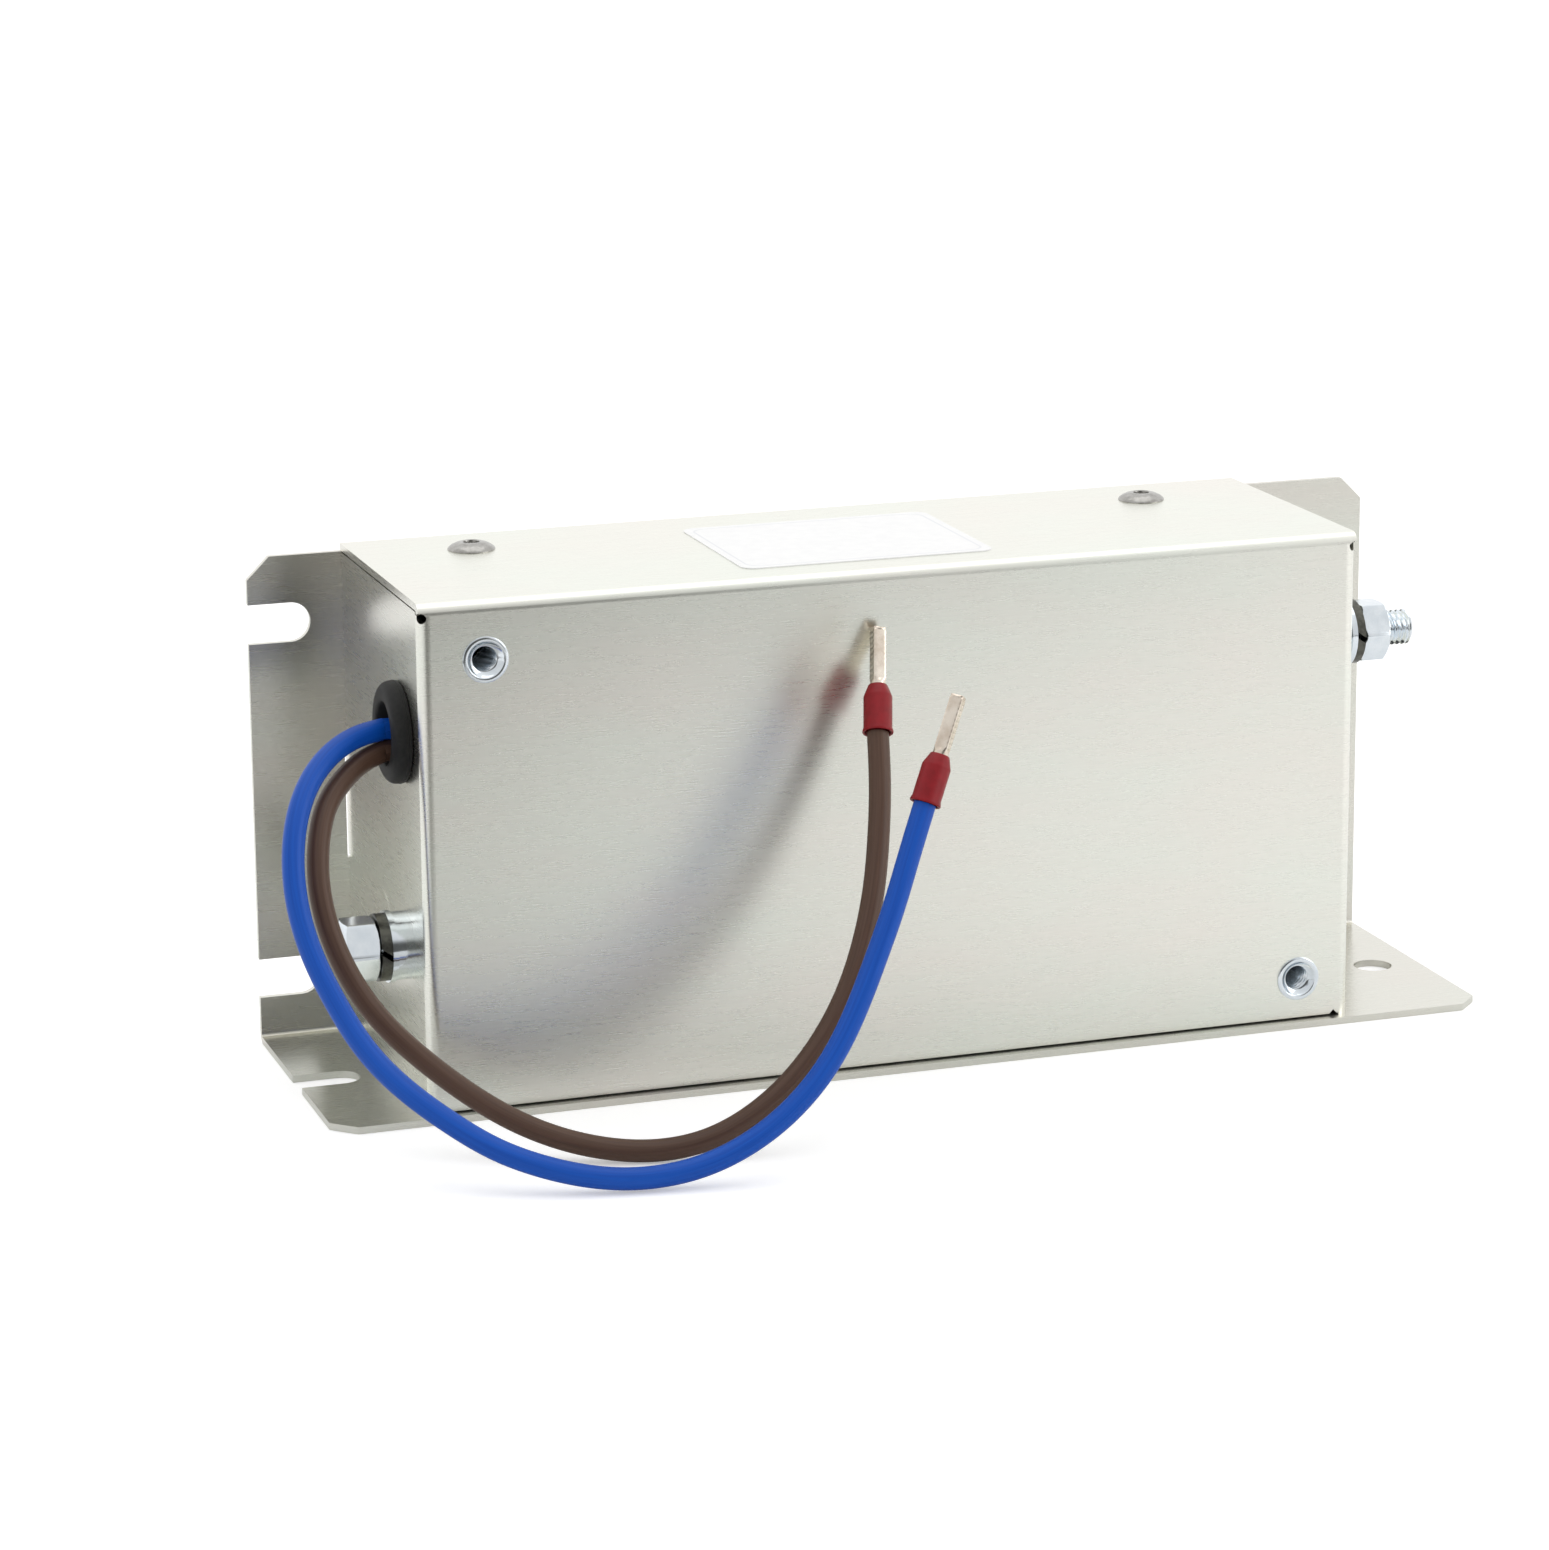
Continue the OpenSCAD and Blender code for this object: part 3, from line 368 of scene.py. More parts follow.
# %% [markdown]
# ## Threads
# A thread is a plain cylinder whose radius rises and falls as a triangle wave along a helix. The wave's
# phase is height over pitch minus angle over a full turn. The same function cuts the studs' outer threads and,
# when it adds to the radius, the inserts' inner ones. Fading the wave out gives the runout and the lead-in.

# %% A threaded wall
def threaded_rings(radius, depth, pitch, low, high, sides, fade, inward=False):
    """Rings from low to high. The triangle wave times depth is taken off the radius of an outer thread and
    added to that of an inner one. It fades out over the given length at both ends."""
    steps = int(abs(high - low) / pitch * 8)
    height = np.linspace(low, high, steps)[:, None]
    angle = round_angles(sides)[None]
    phase = (height / pitch - angle / (2 * math.pi)) % 1.0
    wave = np.clip(np.abs(phase - 0.5) * 2 * 1.25 - 0.1, 0, 1)
    bottom, top = min(low, high), max(low, high)
    strength = np.clip((height - bottom) / fade, 0, 1) * np.clip((top - height) / fade, 0, 1)
    cut = depth * wave * strength
    return rings_of(radius + cut if inward else radius - cut, height, angle)


# %% [markdown]
# ## Threaded inserts
# The drive hangs on two M4 rivet nuts in the front face. What shows is a thin round rim, a shiny lead-in
# chamfer and the first turns of the thread in a dark hole. Behind the sheet the nut bulges and grips it.

# %% Inserts
M4_R, M4_PITCH = 2.0, 0.7
INSERT_RIM_T, INSERT_L = 0.25, 9.5


def insert_shape(sides=64):
    """Up the outside from the open rear end to the rim, over the rim, and down the threaded bore."""
    rear = [(M4_R, -INSERT_L), (2.95, -INSERT_L), (2.95, -3.0), (4.2, -1.8), (4.05, -1.0), (2.95, -1.0),
            (2.95, 0.0)]
    rim = [(3.1, 0.0), (3.15, 0.06), (3.15, 0.16), (3.06, 0.24), (2.62, INSERT_RIM_T), (2.5, 0.2),
           (2.42, 0.12), (1.95, -0.42)]
    bore = threaded_rings(1.72, 0.32, M4_PITCH, -0.5, 0.3 - INSERT_L, sides, 0.4, inward=True)
    return skin(np.concatenate([plain_rings(rear + rim, sides), bore]) * MM, ring_loop=True)


for node in ("insert_upper", "insert_lower"):
    centre, low, _ = middle(node)
    face = [centre[0], low[1] + INSERT_RIM_T * MM, centre[2]]
    make_piece(f"{node}_threaded", lay(insert_shape(), face, [0, -1, 0]), [node], sharp=45)

# %% [markdown]
# ## Blind rivets
# Two blind rivets close the cover on the chassis's flange. The head is a low dome with a dark hole in it,
# and down the hole one sees the broken end of the steel mandrel.

# %% Rivets
RIVET_R, RIVET_T = 3.3, 1.1


def rivet_shape():
    """Head, shank through the two sheets, the formed bulge, and the hollow above the broken mandrel."""
    head = [(RIVET_R, 0.0), (RIVET_R + 0.02, 0.1), (3.2, 0.3), (2.8, 0.62), (2.2, 0.9), (1.6, 1.06),
            (1.25, RIVET_T), (1.12, 1.04)]
    hollow = [(1.08, 0.9), (1.05, 0.42), (0.85, 0.38), (0.8, 0.6), (0.55, 0.72), (0.04, 0.68)]
    below = [(0.04, -5.6), (2.0, -5.4), (2.5, -3.2), (2.45, -2.0), (2.0, -2.0), (2.0, 0.0)]
    return turn(below + head + hollow, sides=64, closed=False)


rivets_middle, rivets_low, rivets_high = middle("cover_rivets")
case_top = rivets_high[2] - RIVET_T * MM
rivets = [lay(rivet_shape(), [x, rivets_middle[1], case_top], [0, 0, 1], side=(1, 0, 0))
          for x in (rivets_low[0] + RIVET_R * MM, rivets_high[0] - RIVET_R * MM)]
make_piece("blind_rivets", join(rivets), ["cover_rivets"])

# %% [markdown]
# ## Earth studs
# An M5 stud stands out of each end wall, with a spacer, a plain washer, a dark spring washer and a nut. The
# nut is a hexagon whose corners are cut by a cone at both faces: at each height its radius is the smaller of
# the hexagon's and the cone's, which draws the curved edges that one sees on a real nut.

# %% Nuts and studs
M5_R, M5_PITCH, M5_DEPTH = 2.5, 0.8, 0.36
NUT_FLATS = 8.0
NUT_BORE = M5_R + 0.05


def nut_shape(thickness, sides=96):
    """Hexagon radius: half the flats over the cosine of the angle from the nearest flat, with its corners
    softened by a power mean. Cone radius: it grows by 1.75 for each step inwards from a face."""
    angle = round_angles(sides)
    flats = np.radians(np.arange(6) * 60)[:, None]
    lean = np.clip(np.cos(angle - flats), 0, None)
    hexagon = NUT_FLATS / 2 * np.sum(lean ** 60, axis=0) ** (-1 / 60)
    edge = np.array([0, 0.02, 0.06, 0.12, 0.18, 0.24, 0.3, 0.36, 0.42, 0.5])
    height = np.concatenate([edge, [thickness / 2], thickness - edge[::-1]])
    inset = np.minimum(height, thickness - height)
    cone = NUT_FLATS / 2 - 0.2 + 1.75 * inset + np.where(inset < 0.01, -0.03, 0)
    radius = np.minimum(hexagon[None], cone[:, None])
    wall = rings_of(radius, height[:, None], angle)
    bore = plain_rings([(NUT_BORE + 0.35, thickness), (NUT_BORE, thickness - 0.3), (NUT_BORE, 0.3),
                        (NUT_BORE + 0.3, 0)], sides)
    return skin(np.concatenate([wall, bore]) * MM, ring_loop=True)


def stud_shape(length, sides=48):
    """Head inside the wall, then the thread, which ends in a small chamfer."""
    head = plain_rings([(4.0, -2.2), (4.0, -1.0), (M5_R, -1.0)], sides)
    thread = threaded_rings(M5_R, M5_DEPTH, M5_PITCH, 0.0, length - 0.45, sides, 0.5)
    tip = plain_rings([(2.2, length - 0.2), (1.95, length), (0.05, length)], sides)
    return skin(np.concatenate([head, thread, tip]) * MM)


def span_along_x(node, out):
    """A node's nearest and farthest X, counted in the direction that points out of the case."""
    _, low, high = middle(node)
    return (high[0], low[0]) if out < 0 else (low[0], high[0])


for end, out in (("load", -1), ("line", 1)):
    axis_at, _, _ = middle(f"earth_spacer_{end}")
    wall_at = [span_along_x(f"earth_spacer_{end}", out)[0], axis_at[1], axis_at[2]]
    reach = abs(span_along_x(f"earth_stud_{end}", out)[1] - wall_at[0]) / MM
    make_piece(f"threaded_stud_{end}", lay(stud_shape(reach), wall_at, [out, 0, 0]),
               [f"earth_stud_{end}"], sharp=50)
    nut_near, nut_far = span_along_x(f"earth_nut_{end}", out)
    make_piece(f"hexagon_nut_{end}",
               lay(nut_shape(abs(nut_far - nut_near) / MM), [nut_near, axis_at[1], axis_at[2]], [out, 0, 0]),
               [f"earth_nut_{end}"], sharp=25)
    print(end, "stud reaches", round(reach, 2), "mm")

# %% [markdown]
# ## The stamped earth symbol
# Near the stud at the leads' end, the wall carries the general earth symbol in a ring, as fine lines that
# catch the light. Strips a few hundredths of a millimetre proud of the wall draw it.

# %% Earth symbol
LINE_W, LINE_LIFT = 0.3, 0.03
SYMBOL_R = 4.2
SYMBOL_FRONT_OF_GROMMET, SYMBOL_UP = 12.8, 22


def strip(start, end):
    """A thin bar on the wall from start to end, given as (towards the front, up) in millimetres."""
    start, end = np.array(start, float), np.array(end, float)
    along = (end - start) / np.linalg.norm(end - start)
    across = np.array([-along[1], along[0]]) * LINE_W / 2
    flat = np.array([start - across, end - across, end + across, start + across])
    base = np.column_stack([np.zeros(4), -flat[:, 0], flat[:, 1]])
    outer = base + [-LINE_LIFT, 0, 0]
    return skin(np.array([base, outer]) * MM)


def stamped_ring():
    """A flat ring: the four corners of its section, carried round the circle."""
    inner, outer = SYMBOL_R - LINE_W / 2, SYMBOL_R + LINE_W / 2
    return turn([(inner, 0), (outer, 0), (outer, LINE_LIFT), (inner, LINE_LIFT)], sides=72)


symbol_at = np.array([wall_x, grommet_middle[1] + SYMBOL_FRONT_OF_GROMMET * MM, SYMBOL_UP * MM])
bars = [strip((0, 2.6), (0, -0.4))]
bars += [strip((-half, y), (half, y)) for half, y in ((2.4, -0.4), (1.6, -1.3), (0.8, -2.2))]
bars = [(points + symbol_at, faces) for points, faces in bars]
make_piece("stamped_earth_symbol", join(bars + [lay(stamped_ring(), symbol_at, [-1, 0, 0])]))

# %% [markdown]
# ## Finishes
# A finish is a small tree of shader nodes. One helper starts each of them: a new material with a Principled
# shader, where every value that is the same all over the surface is set on the shader's own socket. The
# functions below then link in only what varies: grain, streaks, specks and fine relief.

# %% Node helpers
def new_finish(name, **sockets):
    """A material and its Principled shader, with the given sockets set."""
    material = bpy.data.materials.new(name)
    material.use_nodes = True
    shader = material.node_tree.nodes["Principled BSDF"]
    for socket, value in sockets.items():
        shader.inputs[socket.replace("_", " ")].default_value = value
    return material, shader


def add_node(owner, kind, **settings):
    """A node in a material's or a world's tree. Lower-case names set properties, and names with a capital
    set sockets."""
    node = owner.node_tree.nodes.new(kind)
    for name, value in settings.items():
        if name[0].isupper():
            node.inputs[name.replace("_", " ")].default_value = value
        else:
            setattr(node, name, value)
    return node


def link(owner, *pairs):
    """Joins each pair of an output and an input."""
    for start, end in pairs:
        owner.node_tree.links.new(start, end)


def noise(material, scale, stretch=(1, 1, 1), detail=3.0, source="Object"):
    """Noise on the object's own coordinates in metres. A small stretch number draws the grain out long."""
    place = add_node(material, "ShaderNodeTexCoord")
    mapping = add_node(material, "ShaderNodeMapping", Scale=stretch)
    texture = add_node(material, "ShaderNodeTexNoise", Scale=scale, Detail=detail, Roughness=0.55)
    link(material, (place.outputs[source], mapping.inputs["Vector"]),
         (mapping.outputs["Vector"], texture.inputs["Vector"]))
    return texture.outputs["Fac"]


def ramp(material, value, stops):
    """Turns a value from 0 to 1 into a colour that runs through the stops, each (place, colour)."""
    node = add_node(material, "ShaderNodeValToRGB")
    elements = node.color_ramp.elements
    while len(elements) < len(stops):
        elements.new(0.5)
    for element, (place, colour) in zip(elements, stops):
        element.position = place
        element.color = (*colour, 1)
    link(material, (value, node.inputs["Fac"]))
    return node.outputs["Color"]


def between(material, value, low, high):
    """Carries a value from 0..1 to low..high."""
    node = add_node(material, "ShaderNodeMapRange", To_Min=low, To_Max=high)
    link(material, (value, node.inputs["Value"]))
    return node.outputs["Result"]


def relief(material, shader, height, depth):
    """Bump from a height of 0..1 that stands for depth millimetres."""
    bump = add_node(material, "ShaderNodeBump", Strength=1.0, Distance=depth * MM)
    link(material, (height, bump.inputs["Height"]), (bump.outputs["Normal"], shader.inputs["Normal"]))


def clad(material, *names):
    """Gives a material to CAD nodes and new pieces by name."""
    for name in names:
        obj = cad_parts.get(name) or bpy.data.objects[name]
        if obj.data.materials:
            for i in range(len(obj.data.materials)):
                obj.data.materials[i] = material
        else:
            obj.data.materials.append(material)


# %% [markdown]
# ### Rolled aluminium
# The sheet is bare, straight from the rolling mill: a soft mirror with very fine lines along the rolling
# direction, which is the length of the case. The lines are noise drawn out more than twenty times.
# On the top they vary from front to back, elsewhere they vary with height, so the surface's own normal
# chooses between two noises. The lines tint the metal a little, change its roughness and give it relief.
# Such lines also smear a reflection across them: the shader's anisotropy does that, and its tangent has to
# lie in the surface, square to the grain, which is the cross product of the normal and the case's length.
# The chassis comes from another sheet, a little darker than the cover's.

# %% Aluminium
GRAIN_ALONG, GRAIN_ACROSS = 200, 4600
CLOUD_TINTS = [(0.32, (1.0, 0.975, 0.965)), (0.5, (0.985, 0.985, 0.97)), (0.68, (0.975, 1.0, 0.98))]


def rolled_aluminium(name, tint, roughness):
    """Colour = tint, dimmed in the lines and times the clouds' tints. Roughness follows the lines too."""
    material, shader = new_finish(name, Metallic=1.0, Roughness=roughness, Anisotropic=0.6)
    upright = noise(material, 1.0, (GRAIN_ALONG, GRAIN_ALONG, GRAIN_ACROSS))
    flat = noise(material, 1.0, (GRAIN_ALONG, GRAIN_ACROSS, GRAIN_ALONG))
    facing = add_node(material, "ShaderNodeNewGeometry")
    split = add_node(material, "ShaderNodeSeparateXYZ")
    level = add_node(material, "ShaderNodeMath", operation="ABSOLUTE")
    pick = add_node(material, "ShaderNodeMix", data_type="FLOAT")
    link(material, (facing.outputs["Normal"], split.inputs["Vector"]),
         (split.outputs["Z"], level.inputs[0]), (level.outputs[0], pick.inputs["Factor"]),
         (upright, pick.inputs["A"]), (flat, pick.inputs["B"]))
    lines = pick.outputs["Result"]
    clouds = noise(material, 60.0, (0.5, 0.5, 1.4), detail=4.0)
    colour = add_node(material, "ShaderNodeMix", data_type="RGBA", blend_type="MULTIPLY")
    colour.inputs["Factor"].default_value = 1.0
    in_the_lines = [channel * 0.955 for channel in tint]
    link(material,
         (ramp(material, lines, [(0.3, in_the_lines), (0.7, tint)]), colour.inputs["A"]),
         (ramp(material, clouds, CLOUD_TINTS), colour.inputs["B"]),
         (colour.outputs["Result"], shader.inputs["Base Color"]),
         (between(material, lines, roughness - 0.03, roughness + 0.04), shader.inputs["Roughness"]))
    relief(material, shader, lines, 0.0009)
    across = add_node(material, "ShaderNodeVectorMath", operation="CROSS_PRODUCT")
    across.inputs[1].default_value = (1, 0.05, 0)
    link(material, (facing.outputs["Normal"], across.inputs[0]),
         (across.outputs["Vector"], shader.inputs["Tangent"]))
    return material


cover_sheet = rolled_aluminium("cover_aluminium", (0.90, 0.898, 0.84), 0.275)
clad(cover_sheet, "cover", "stamped_earth_symbol")
chassis_sheet = rolled_aluminium("chassis_aluminium", (0.78, 0.772, 0.715), 0.26)
clad(chassis_sheet, "chassis")
print("finishes:", cover_sheet.name, "and", chassis_sheet.name)

# %% [markdown]
# ### Zinc plate and steel
# The nuts, studs and inserts have bright zinc with a bluish passivation, the spring washers are dark oiled
# steel and the rivets are plain steel. They differ only in colour, roughness and the size of their specks.

# %% Plated and plain steel
def metal_finish(name, dark, light, roughness, speck, spread=0.06, depth=0.004):
    """A metal whose specks run from dark to light and change its roughness by spread each way."""
    material, shader = new_finish(name, Metallic=1.0, Roughness=roughness)
    specks = noise(material, speck, detail=4.0)
    link(material, (ramp(material, specks, [(0.35, dark), (0.65, light)]), shader.inputs["Base Color"]),
         (between(material, specks, roughness - spread, roughness + spread), shader.inputs["Roughness"]))
    relief(material, shader, specks, depth)
    return material


zinc = metal_finish("bright_zinc", (0.74, 0.80, 0.85), (0.82, 0.87, 0.91), 0.12, 500,
                    spread=0.03, depth=0.001)
clad(zinc, "insert_upper_threaded", "insert_lower_threaded", "insert_upper", "insert_lower")
for end in ("load", "line"):
    clad(zinc, f"threaded_stud_{end}", f"hexagon_nut_{end}", f"earth_spacer_{end}", f"earth_washer_{end}",
         f"earth_stud_{end}", f"earth_nut_{end}")
spring_steel = metal_finish("spring_steel", (0.08, 0.08, 0.07), (0.14, 0.14, 0.12), 0.35, 1400)
clad(spring_steel, "earth_spring_load", "earth_spring_line")
rivet_steel = metal_finish("rivet_steel", (0.34, 0.33, 0.31), (0.46, 0.45, 0.43), 0.24, 1100)
clad(rivet_steel, "blind_rivets", "cover_rivets", "board_screws", "terminal_screws", "standoffs")
tin = metal_finish("tinned_copper", (0.70, 0.60, 0.50), (0.86, 0.78, 0.68), 0.22, 420,
                   spread=0.03, depth=0.0008)
clad(tin, "ferrule_pin_blue", "ferrule_pin_brown", "pin_blue", "pin_brown")
brass = metal_finish("nickelled_brass", (0.66, 0.60, 0.46), (0.78, 0.73, 0.60), 0.28, 900)
clad(brass, "clamp_line", "clamp_neutral")

# %% [markdown]
# ### Wire insulation
# PVC has an even colour with a soft shine. Slow lengthwise streaks from the extruder's die change the
# roughness, and they follow the wire because they read its own map.

# %% Insulation
BLUE = [(0.001, 0.064, 0.39), (0.002, 0.086, 0.48)]
BROWN = [(0.075, 0.040, 0.026), (0.108, 0.060, 0.040)]


def insulation(name, deep, bright, source="UV"):
    """Streaks along the wire from its own map, or specks from object coordinates for the plain solids."""
    material, shader = new_finish(name, Roughness=0.38, IOR=1.45, Specular_IOR_Level=0.35)
    stretch = (30, 60, 1) if source == "UV" else (900, 900, 900)
    streaks = noise(material, 1.0, stretch, source=source)
    link(material, (ramp(material, streaks, [(0.3, deep), (0.7, bright)]), shader.inputs["Base Color"]),
         (between(material, streaks, 0.32, 0.45), shader.inputs["Roughness"]))
    relief(material, shader, streaks, 0.012)
    return material


clad(insulation("blue_pvc", *BLUE), "wire_blue")
clad(insulation("brown_pvc", *BROWN), "wire_brown")
clad(insulation("blue_pvc_inside", *BLUE, "Object"), "lead_blue", "inner_blue", "link_neutral")
clad(insulation("brown_pvc_inside", *BROWN, "Object"), "lead_brown", "inner_brown", "link_line")

# %% [markdown]
# ### Moulded pieces and the inside
# Rubber, the sleeves, the terminal block and the parts on the board are moulded or dipped. Each has a fine
# speckle of its own in colour, roughness and relief. The table gives the dark and the light of the specks,
# the roughness, how many specks there are to a metre, and the pieces that wear the finish.

# %% Moulded and coated finishes
def moulded(name, dark, light, roughness, speck):
    """A plastic whose specks run from dark to light, with a roughness and a relief that follow them."""
    material, shader = new_finish(name, Roughness=roughness, IOR=1.45, Specular_IOR_Level=0.35)
    specks = noise(material, speck, detail=5.0)
    link(material, (ramp(material, specks, [(0.3, dark), (0.7, light)]), shader.inputs["Base Color"]),
         (between(material, specks, roughness - 0.06, roughness + 0.06), shader.inputs["Roughness"]))
    relief(material, shader, specks, 0.01)
    return material


MOULDED = {
    "black_rubber": ((0.008, 0.008, 0.008), (0.016, 0.016, 0.015), 0.6, 1500,
                     ["moulded_grommet", "grommet"]),
    "sleeve_red": ((0.20, 0.002, 0.006), (0.27, 0.004, 0.010), 0.4, 700,
                   ["ferrule_sleeve_blue", "ferrule_sleeve_brown", "sleeve_blue", "sleeve_brown"]),
    "terminal_grey": ((0.05, 0.052, 0.055), (0.075, 0.078, 0.08), 0.45, 1200, ["terminal_block"]),
    "board_green": ((0.012, 0.10, 0.04), (0.02, 0.14, 0.06), 0.35, 400, ["board"]),
    "liner_film": ((0.70, 0.68, 0.60), (0.80, 0.78, 0.70), 0.4, 500, ["liner"]),
    "ferrite_coat": ((0.03, 0.07, 0.03), (0.05, 0.10, 0.05), 0.4, 800, ["choke_core"]),
    "choke_black": ((0.012, 0.012, 0.012), (0.03, 0.03, 0.03), 0.5, 1200, ["choke_base"]),
    "enamelled_wire": ((0.32, 0.09, 0.02), (0.48, 0.16, 0.05), 0.25, 900,
                       ["winding_line", "winding_neutral"]),
    "capacitor_yellow": ((0.72, 0.44, 0.04), (0.82, 0.54, 0.07), 0.4, 900, ["xcap_line", "xcap_load"]),
    "disc_blue": ((0.02, 0.10, 0.34), (0.03, 0.14, 0.44), 0.35, 900, ["ycap_line", "ycap_neutral"]),
    "resistor_tan": ((0.48, 0.36, 0.2), (0.58, 0.46, 0.28), 0.45, 1200, ["bleeder"]),
}
for name, (dark, light, roughness, speck, wearers) in MOULDED.items():
    clad(moulded(name, dark, light, roughness, speck), *wearers)

# %% [markdown]
# ### The label
# The rating label is left bare: white film with only a thin printed border. The border is a rounded
# rectangle's outline, found from the distance of each point to the rectangle's edge.

# %% Label
BORDER_INSET, BORDER_CORNER, BORDER_HALF_W = 1.2, 2.0, 0.14


def label_film(name, centre, half):
    """The border is drawn where the distance to the rectangle's straight part equals the corner's radius."""
    material, shader = new_finish(name, Roughness=0.45, IOR=1.5)
    place = add_node(material, "ShaderNodeTexCoord")
    offset = add_node(material, "ShaderNodeMapping", vector_type="POINT",
                      Location=(-centre[0] / MM, -centre[1] / MM, 0), Scale=(1 / MM, 1 / MM, 0))
    positive = add_node(material, "ShaderNodeVectorMath", operation="ABSOLUTE")
    beyond = add_node(material, "ShaderNodeVectorMath", operation="SUBTRACT")
    straight = half - BORDER_CORNER - BORDER_INSET
    beyond.inputs[1].default_value = (straight[0], straight[1], 0)
    clipped = add_node(material, "ShaderNodeVectorMath", operation="MAXIMUM")
    clipped.inputs[1].default_value = (0, 0, 0)
    length = add_node(material, "ShaderNodeVectorMath", operation="LENGTH")
    line = add_node(material, "ShaderNodeMath", operation="COMPARE")
    line.inputs[1].default_value = BORDER_CORNER
    line.inputs[2].default_value = BORDER_HALF_W
    link(material, (place.outputs["Object"], offset.inputs["Vector"]),
         (offset.outputs["Vector"], positive.inputs[0]), (positive.outputs[0], beyond.inputs[0]),
         (beyond.outputs[0], clipped.inputs[0]), (clipped.outputs[0], length.inputs[0]),
         (length.outputs["Value"], line.inputs[0]))
    fibres = noise(material, 600)
    colour = add_node(material, "ShaderNodeMix", data_type="RGBA")
    colour.inputs["B"].default_value = (0.76, 0.77, 0.79, 1)
    link(material, (line.outputs[0], colour.inputs["Factor"]),
         (ramp(material, fibres, [(0.3, (0.86, 0.86, 0.86)), (0.7, (0.90, 0.90, 0.895))]),
          colour.inputs["A"]),
         (colour.outputs["Result"], shader.inputs["Base Color"]),
         (between(material, fibres, 0.4, 0.5), shader.inputs["Roughness"]))
    relief(material, shader, fibres, 0.003)
    return material


label_middle, label_low, label_high = middle("label")
clad(label_film("label_film", label_middle[:2], (label_high - label_low)[:2] / 2 / MM), "label")
print("label:", ((label_high - label_low) / MM).round(1).tolist(), "mm")

# %% [markdown]
# ## Floor and light
# The part stands on a white sweep. Metal shows mostly what stands around it, so the room matters as much as
# the lamps: white behind and to the right, and dimmer patches at the front left, on the camera's side, which
# darken the end wall and the ear. The camera itself sees plain white.

# %% Floor
def flat_card(name, corners, material):
    """One flat face that belongs to the stage and not to the part."""
    mesh = bpy.data.meshes.new(name)
    mesh.from_pydata(corners, [], [[0, 1, 2, 3]])
    mesh.materials.append(material)
    card = bpy.data.objects.new(name, mesh)
    bpy.context.scene.collection.objects.link(card)
    return card


def white_floor():
    """White that scatters light, with a little glow that only the camera sees."""
    material, shader = new_finish("white_floor", Roughness=0.9, Base_Color=(0.88, 0.88, 0.88, 1))
    rays = add_node(material, "ShaderNodeLightPath")
    glow = add_node(material, "ShaderNodeMath", operation="MULTIPLY")
    glow.inputs[1].default_value = 0.34
    link(material, (rays.outputs["Is Camera Ray"], glow.inputs[0]),
         (glow.outputs[0], shader.inputs["Emission Strength"]))
    shader.inputs["Emission Color"].default_value = (1, 1, 1, 1)
    return material


REACH = 3.0
flat_card("floor", [[-REACH, -REACH, 0], [REACH, -REACH, 0], [REACH, REACH, 0], [-REACH, REACH, 0]],
          white_floor())
print("floor:", 2 * REACH, "m wide")

# %% [markdown]
# A studio flag is a dark card that is kept out of the picture but not out of the reflections. Three of them
# give the metal its depth: two lie on the floor at the front left, and one stands behind the camera. Their
# edges are soft, so that no hard border shows up in the metal: how solid a card is at a point is a product
# of eased steps, each measured along one direction.

# %% Flags
def flag_card(name, corners, soft_edges, level):
    """Each soft edge is a direction, and the two distances along it between which the card fades in."""
    material, shader = new_finish(name, Roughness=0.9, Base_Color=(0.0, 0.0, 0.0, 1),
                                  Emission_Color=(1.0, 0.99, 0.93, 1), Emission_Strength=level)
    place = add_node(material, "ShaderNodeTexCoord")
    total = None
    for direction, fades_in, full in soft_edges:
        along = add_node(material, "ShaderNodeVectorMath", operation="DOT_PRODUCT")
        along.inputs[1].default_value = direction
        step = add_node(material, "ShaderNodeMapRange", interpolation_type="SMOOTHSTEP",
                        From_Min=fades_in, From_Max=full)
        link(material, (place.outputs["Object"], along.inputs[0]),
             (along.outputs["Value"], step.inputs["Value"]))
        if total is None:
            total = step.outputs["Result"]
        else:
            both = add_node(material, "ShaderNodeMath", operation="MULTIPLY")
            link(material, (total, both.inputs[0]), (step.outputs["Result"], both.inputs[1]))
            total = both.outputs[0]
    link(material, (total, shader.inputs["Alpha"]))
    card = flat_card(name, corners, material)
    card.visible_camera = card.visible_diffuse = card.visible_shadow = card.visible_transmission = False
    print("flag:", name)


flag_card("flag_left",
          [[-0.5, -1.2, 0.0006], [0.15, -1.2, 0.0006], [0.15, -0.03, 0.0006], [-0.5, -0.03, 0.0006]],
          [((-1, 0, 0), -0.06, 0.17), ((0.94, -0.34, 0), -0.14, -0.07)], 0.36)
flag_card("flag_far",
          [[-0.9, -1.2, 0.0008], [0.6, -1.2, 0.0008], [0.6, -0.03, 0.0008], [-0.9, -0.03, 0.0008]],
          [((-0.585, -0.81, 0), 0.175, 0.31), ((0.94, -0.34, 0), -0.3, -0.12)], 0.1)
flag_card("flag_behind_camera",
          [[-1.0, -1.0, 0.0], [0.7, -1.0, 0.0], [0.7, -1.0, 0.9], [-1.0, -1.0, 0.9]],
          [((-1, 0, 0), -0.45, -0.2), ((1, 0, 0), -0.9, -0.6), ((0, 0, -1), -0.8, -0.34)], 0.08)

# %% Room and lamps
BACK_STRENGTH, FRONT_STRENGTH = 1.06, 0.72


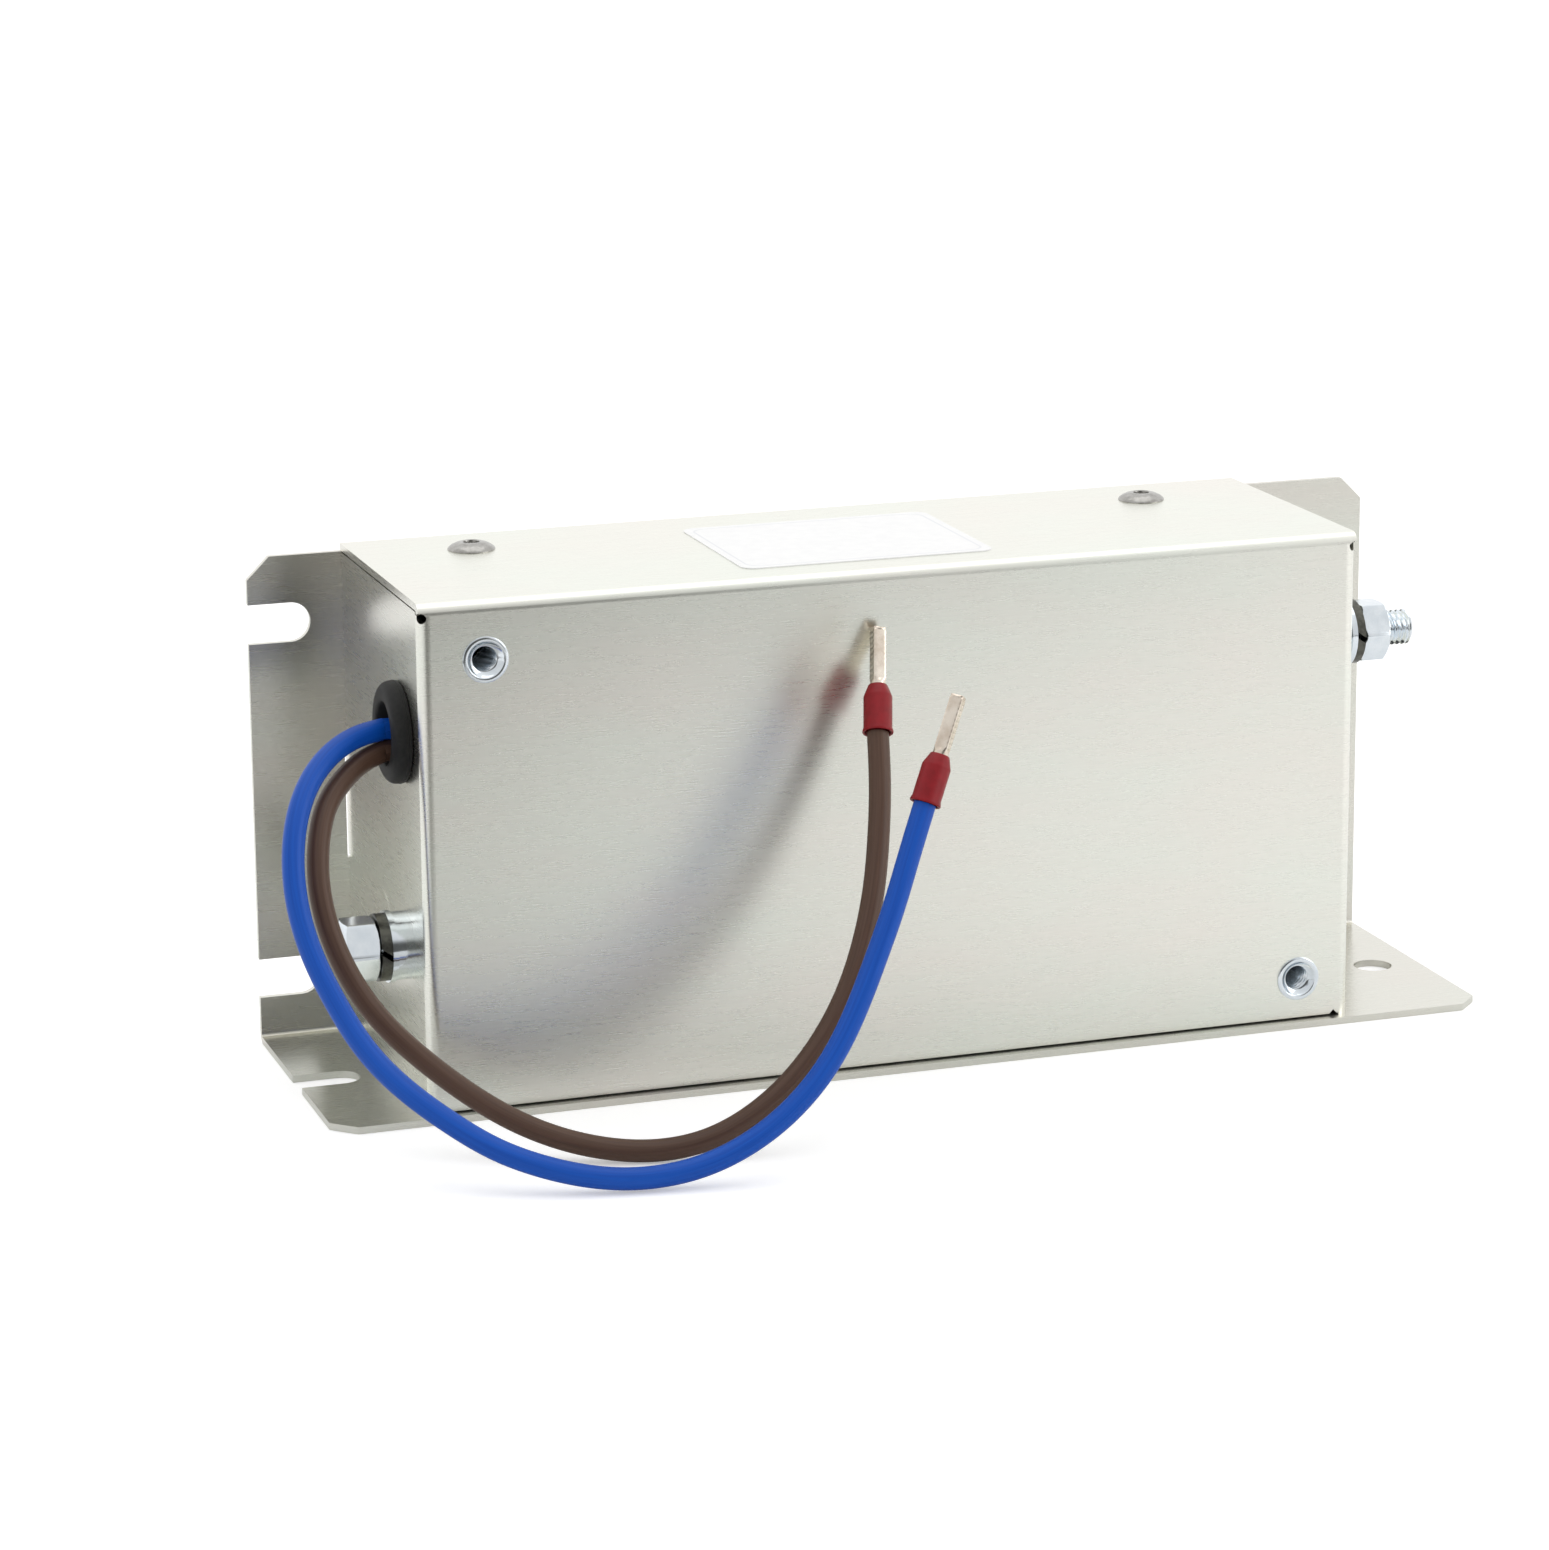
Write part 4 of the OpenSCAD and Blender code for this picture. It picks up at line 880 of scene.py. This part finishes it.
def soft_room():
    """The room is white at the back right, where the backdrop stands, and a little dimmer towards the front
    left: its strength follows the dot product of the view direction with one direction. The camera sees
    full white everywhere."""
    world = bpy.data.worlds.new("soft_room")
    bpy.context.scene.world = world
    world.use_nodes = True
    background = world.node_tree.nodes["Background"]
    background.inputs["Color"].default_value = (1, 1, 1, 1)
    place = add_node(world, "ShaderNodeTexCoord")
    towards = add_node(world, "ShaderNodeVectorMath", operation="DOT_PRODUCT")
    towards.inputs[1].default_value = (0.4, 0.9, 0.2)
    spread = add_node(world, "ShaderNodeMapRange", interpolation_type="SMOOTHSTEP",
                      From_Min=-0.8, From_Max=0.6, To_Min=FRONT_STRENGTH, To_Max=BACK_STRENGTH)
    rays = add_node(world, "ShaderNodeLightPath")
    seen = add_node(world, "ShaderNodeMath", operation="MAXIMUM")
    link(world, (place.outputs["Generated"], towards.inputs[0]),
         (towards.outputs["Value"], spread.inputs["Value"]), (spread.outputs["Result"], seen.inputs[0]),
         (rays.outputs["Is Camera Ray"], seen.inputs[1]),
         (seen.outputs["Value"], background.inputs["Strength"]))


def soft_lamp(name, at, aim, size, watts):
    """A square of light that faces its aim: its own backward axis runs from the aim to the lamp."""
    data = bpy.data.lights.new(name, "AREA")
    data.shape = "SQUARE"
    data.size = size
    data.energy = watts
    lamp = bpy.data.objects.new(name, data)
    back = np.array(at, float) - np.array(aim, float)
    back /= np.linalg.norm(back)
    right = np.cross([0, 0, 1.0] if abs(back[2]) < 0.99 else [0, 1.0, 0], back)
    right /= np.linalg.norm(right)
    place = np.eye(4)
    place[:3, :3] = np.array([right, np.cross(back, right), back]).T
    place[:3, 3] = at
    lamp.matrix_world = Matrix(place.tolist())
    bpy.context.scene.collection.objects.link(lamp)


soft_room()
soft_lamp("overhead", (0.1, 0.1, 1.3), (0, 0, 0), 1.2, 2.6)
soft_lamp("right_side", (1.1, -0.7, 0.6), (0, 0, 0.03), 0.8, 2.6)
view = bpy.context.scene.view_settings
view.view_transform = "Standard"
print("view:", view.view_transform)

# %% [markdown]
# ## The last update
# The last call brings the view layer up to date.

# %% The last update
bpy.context.view_layer.update()
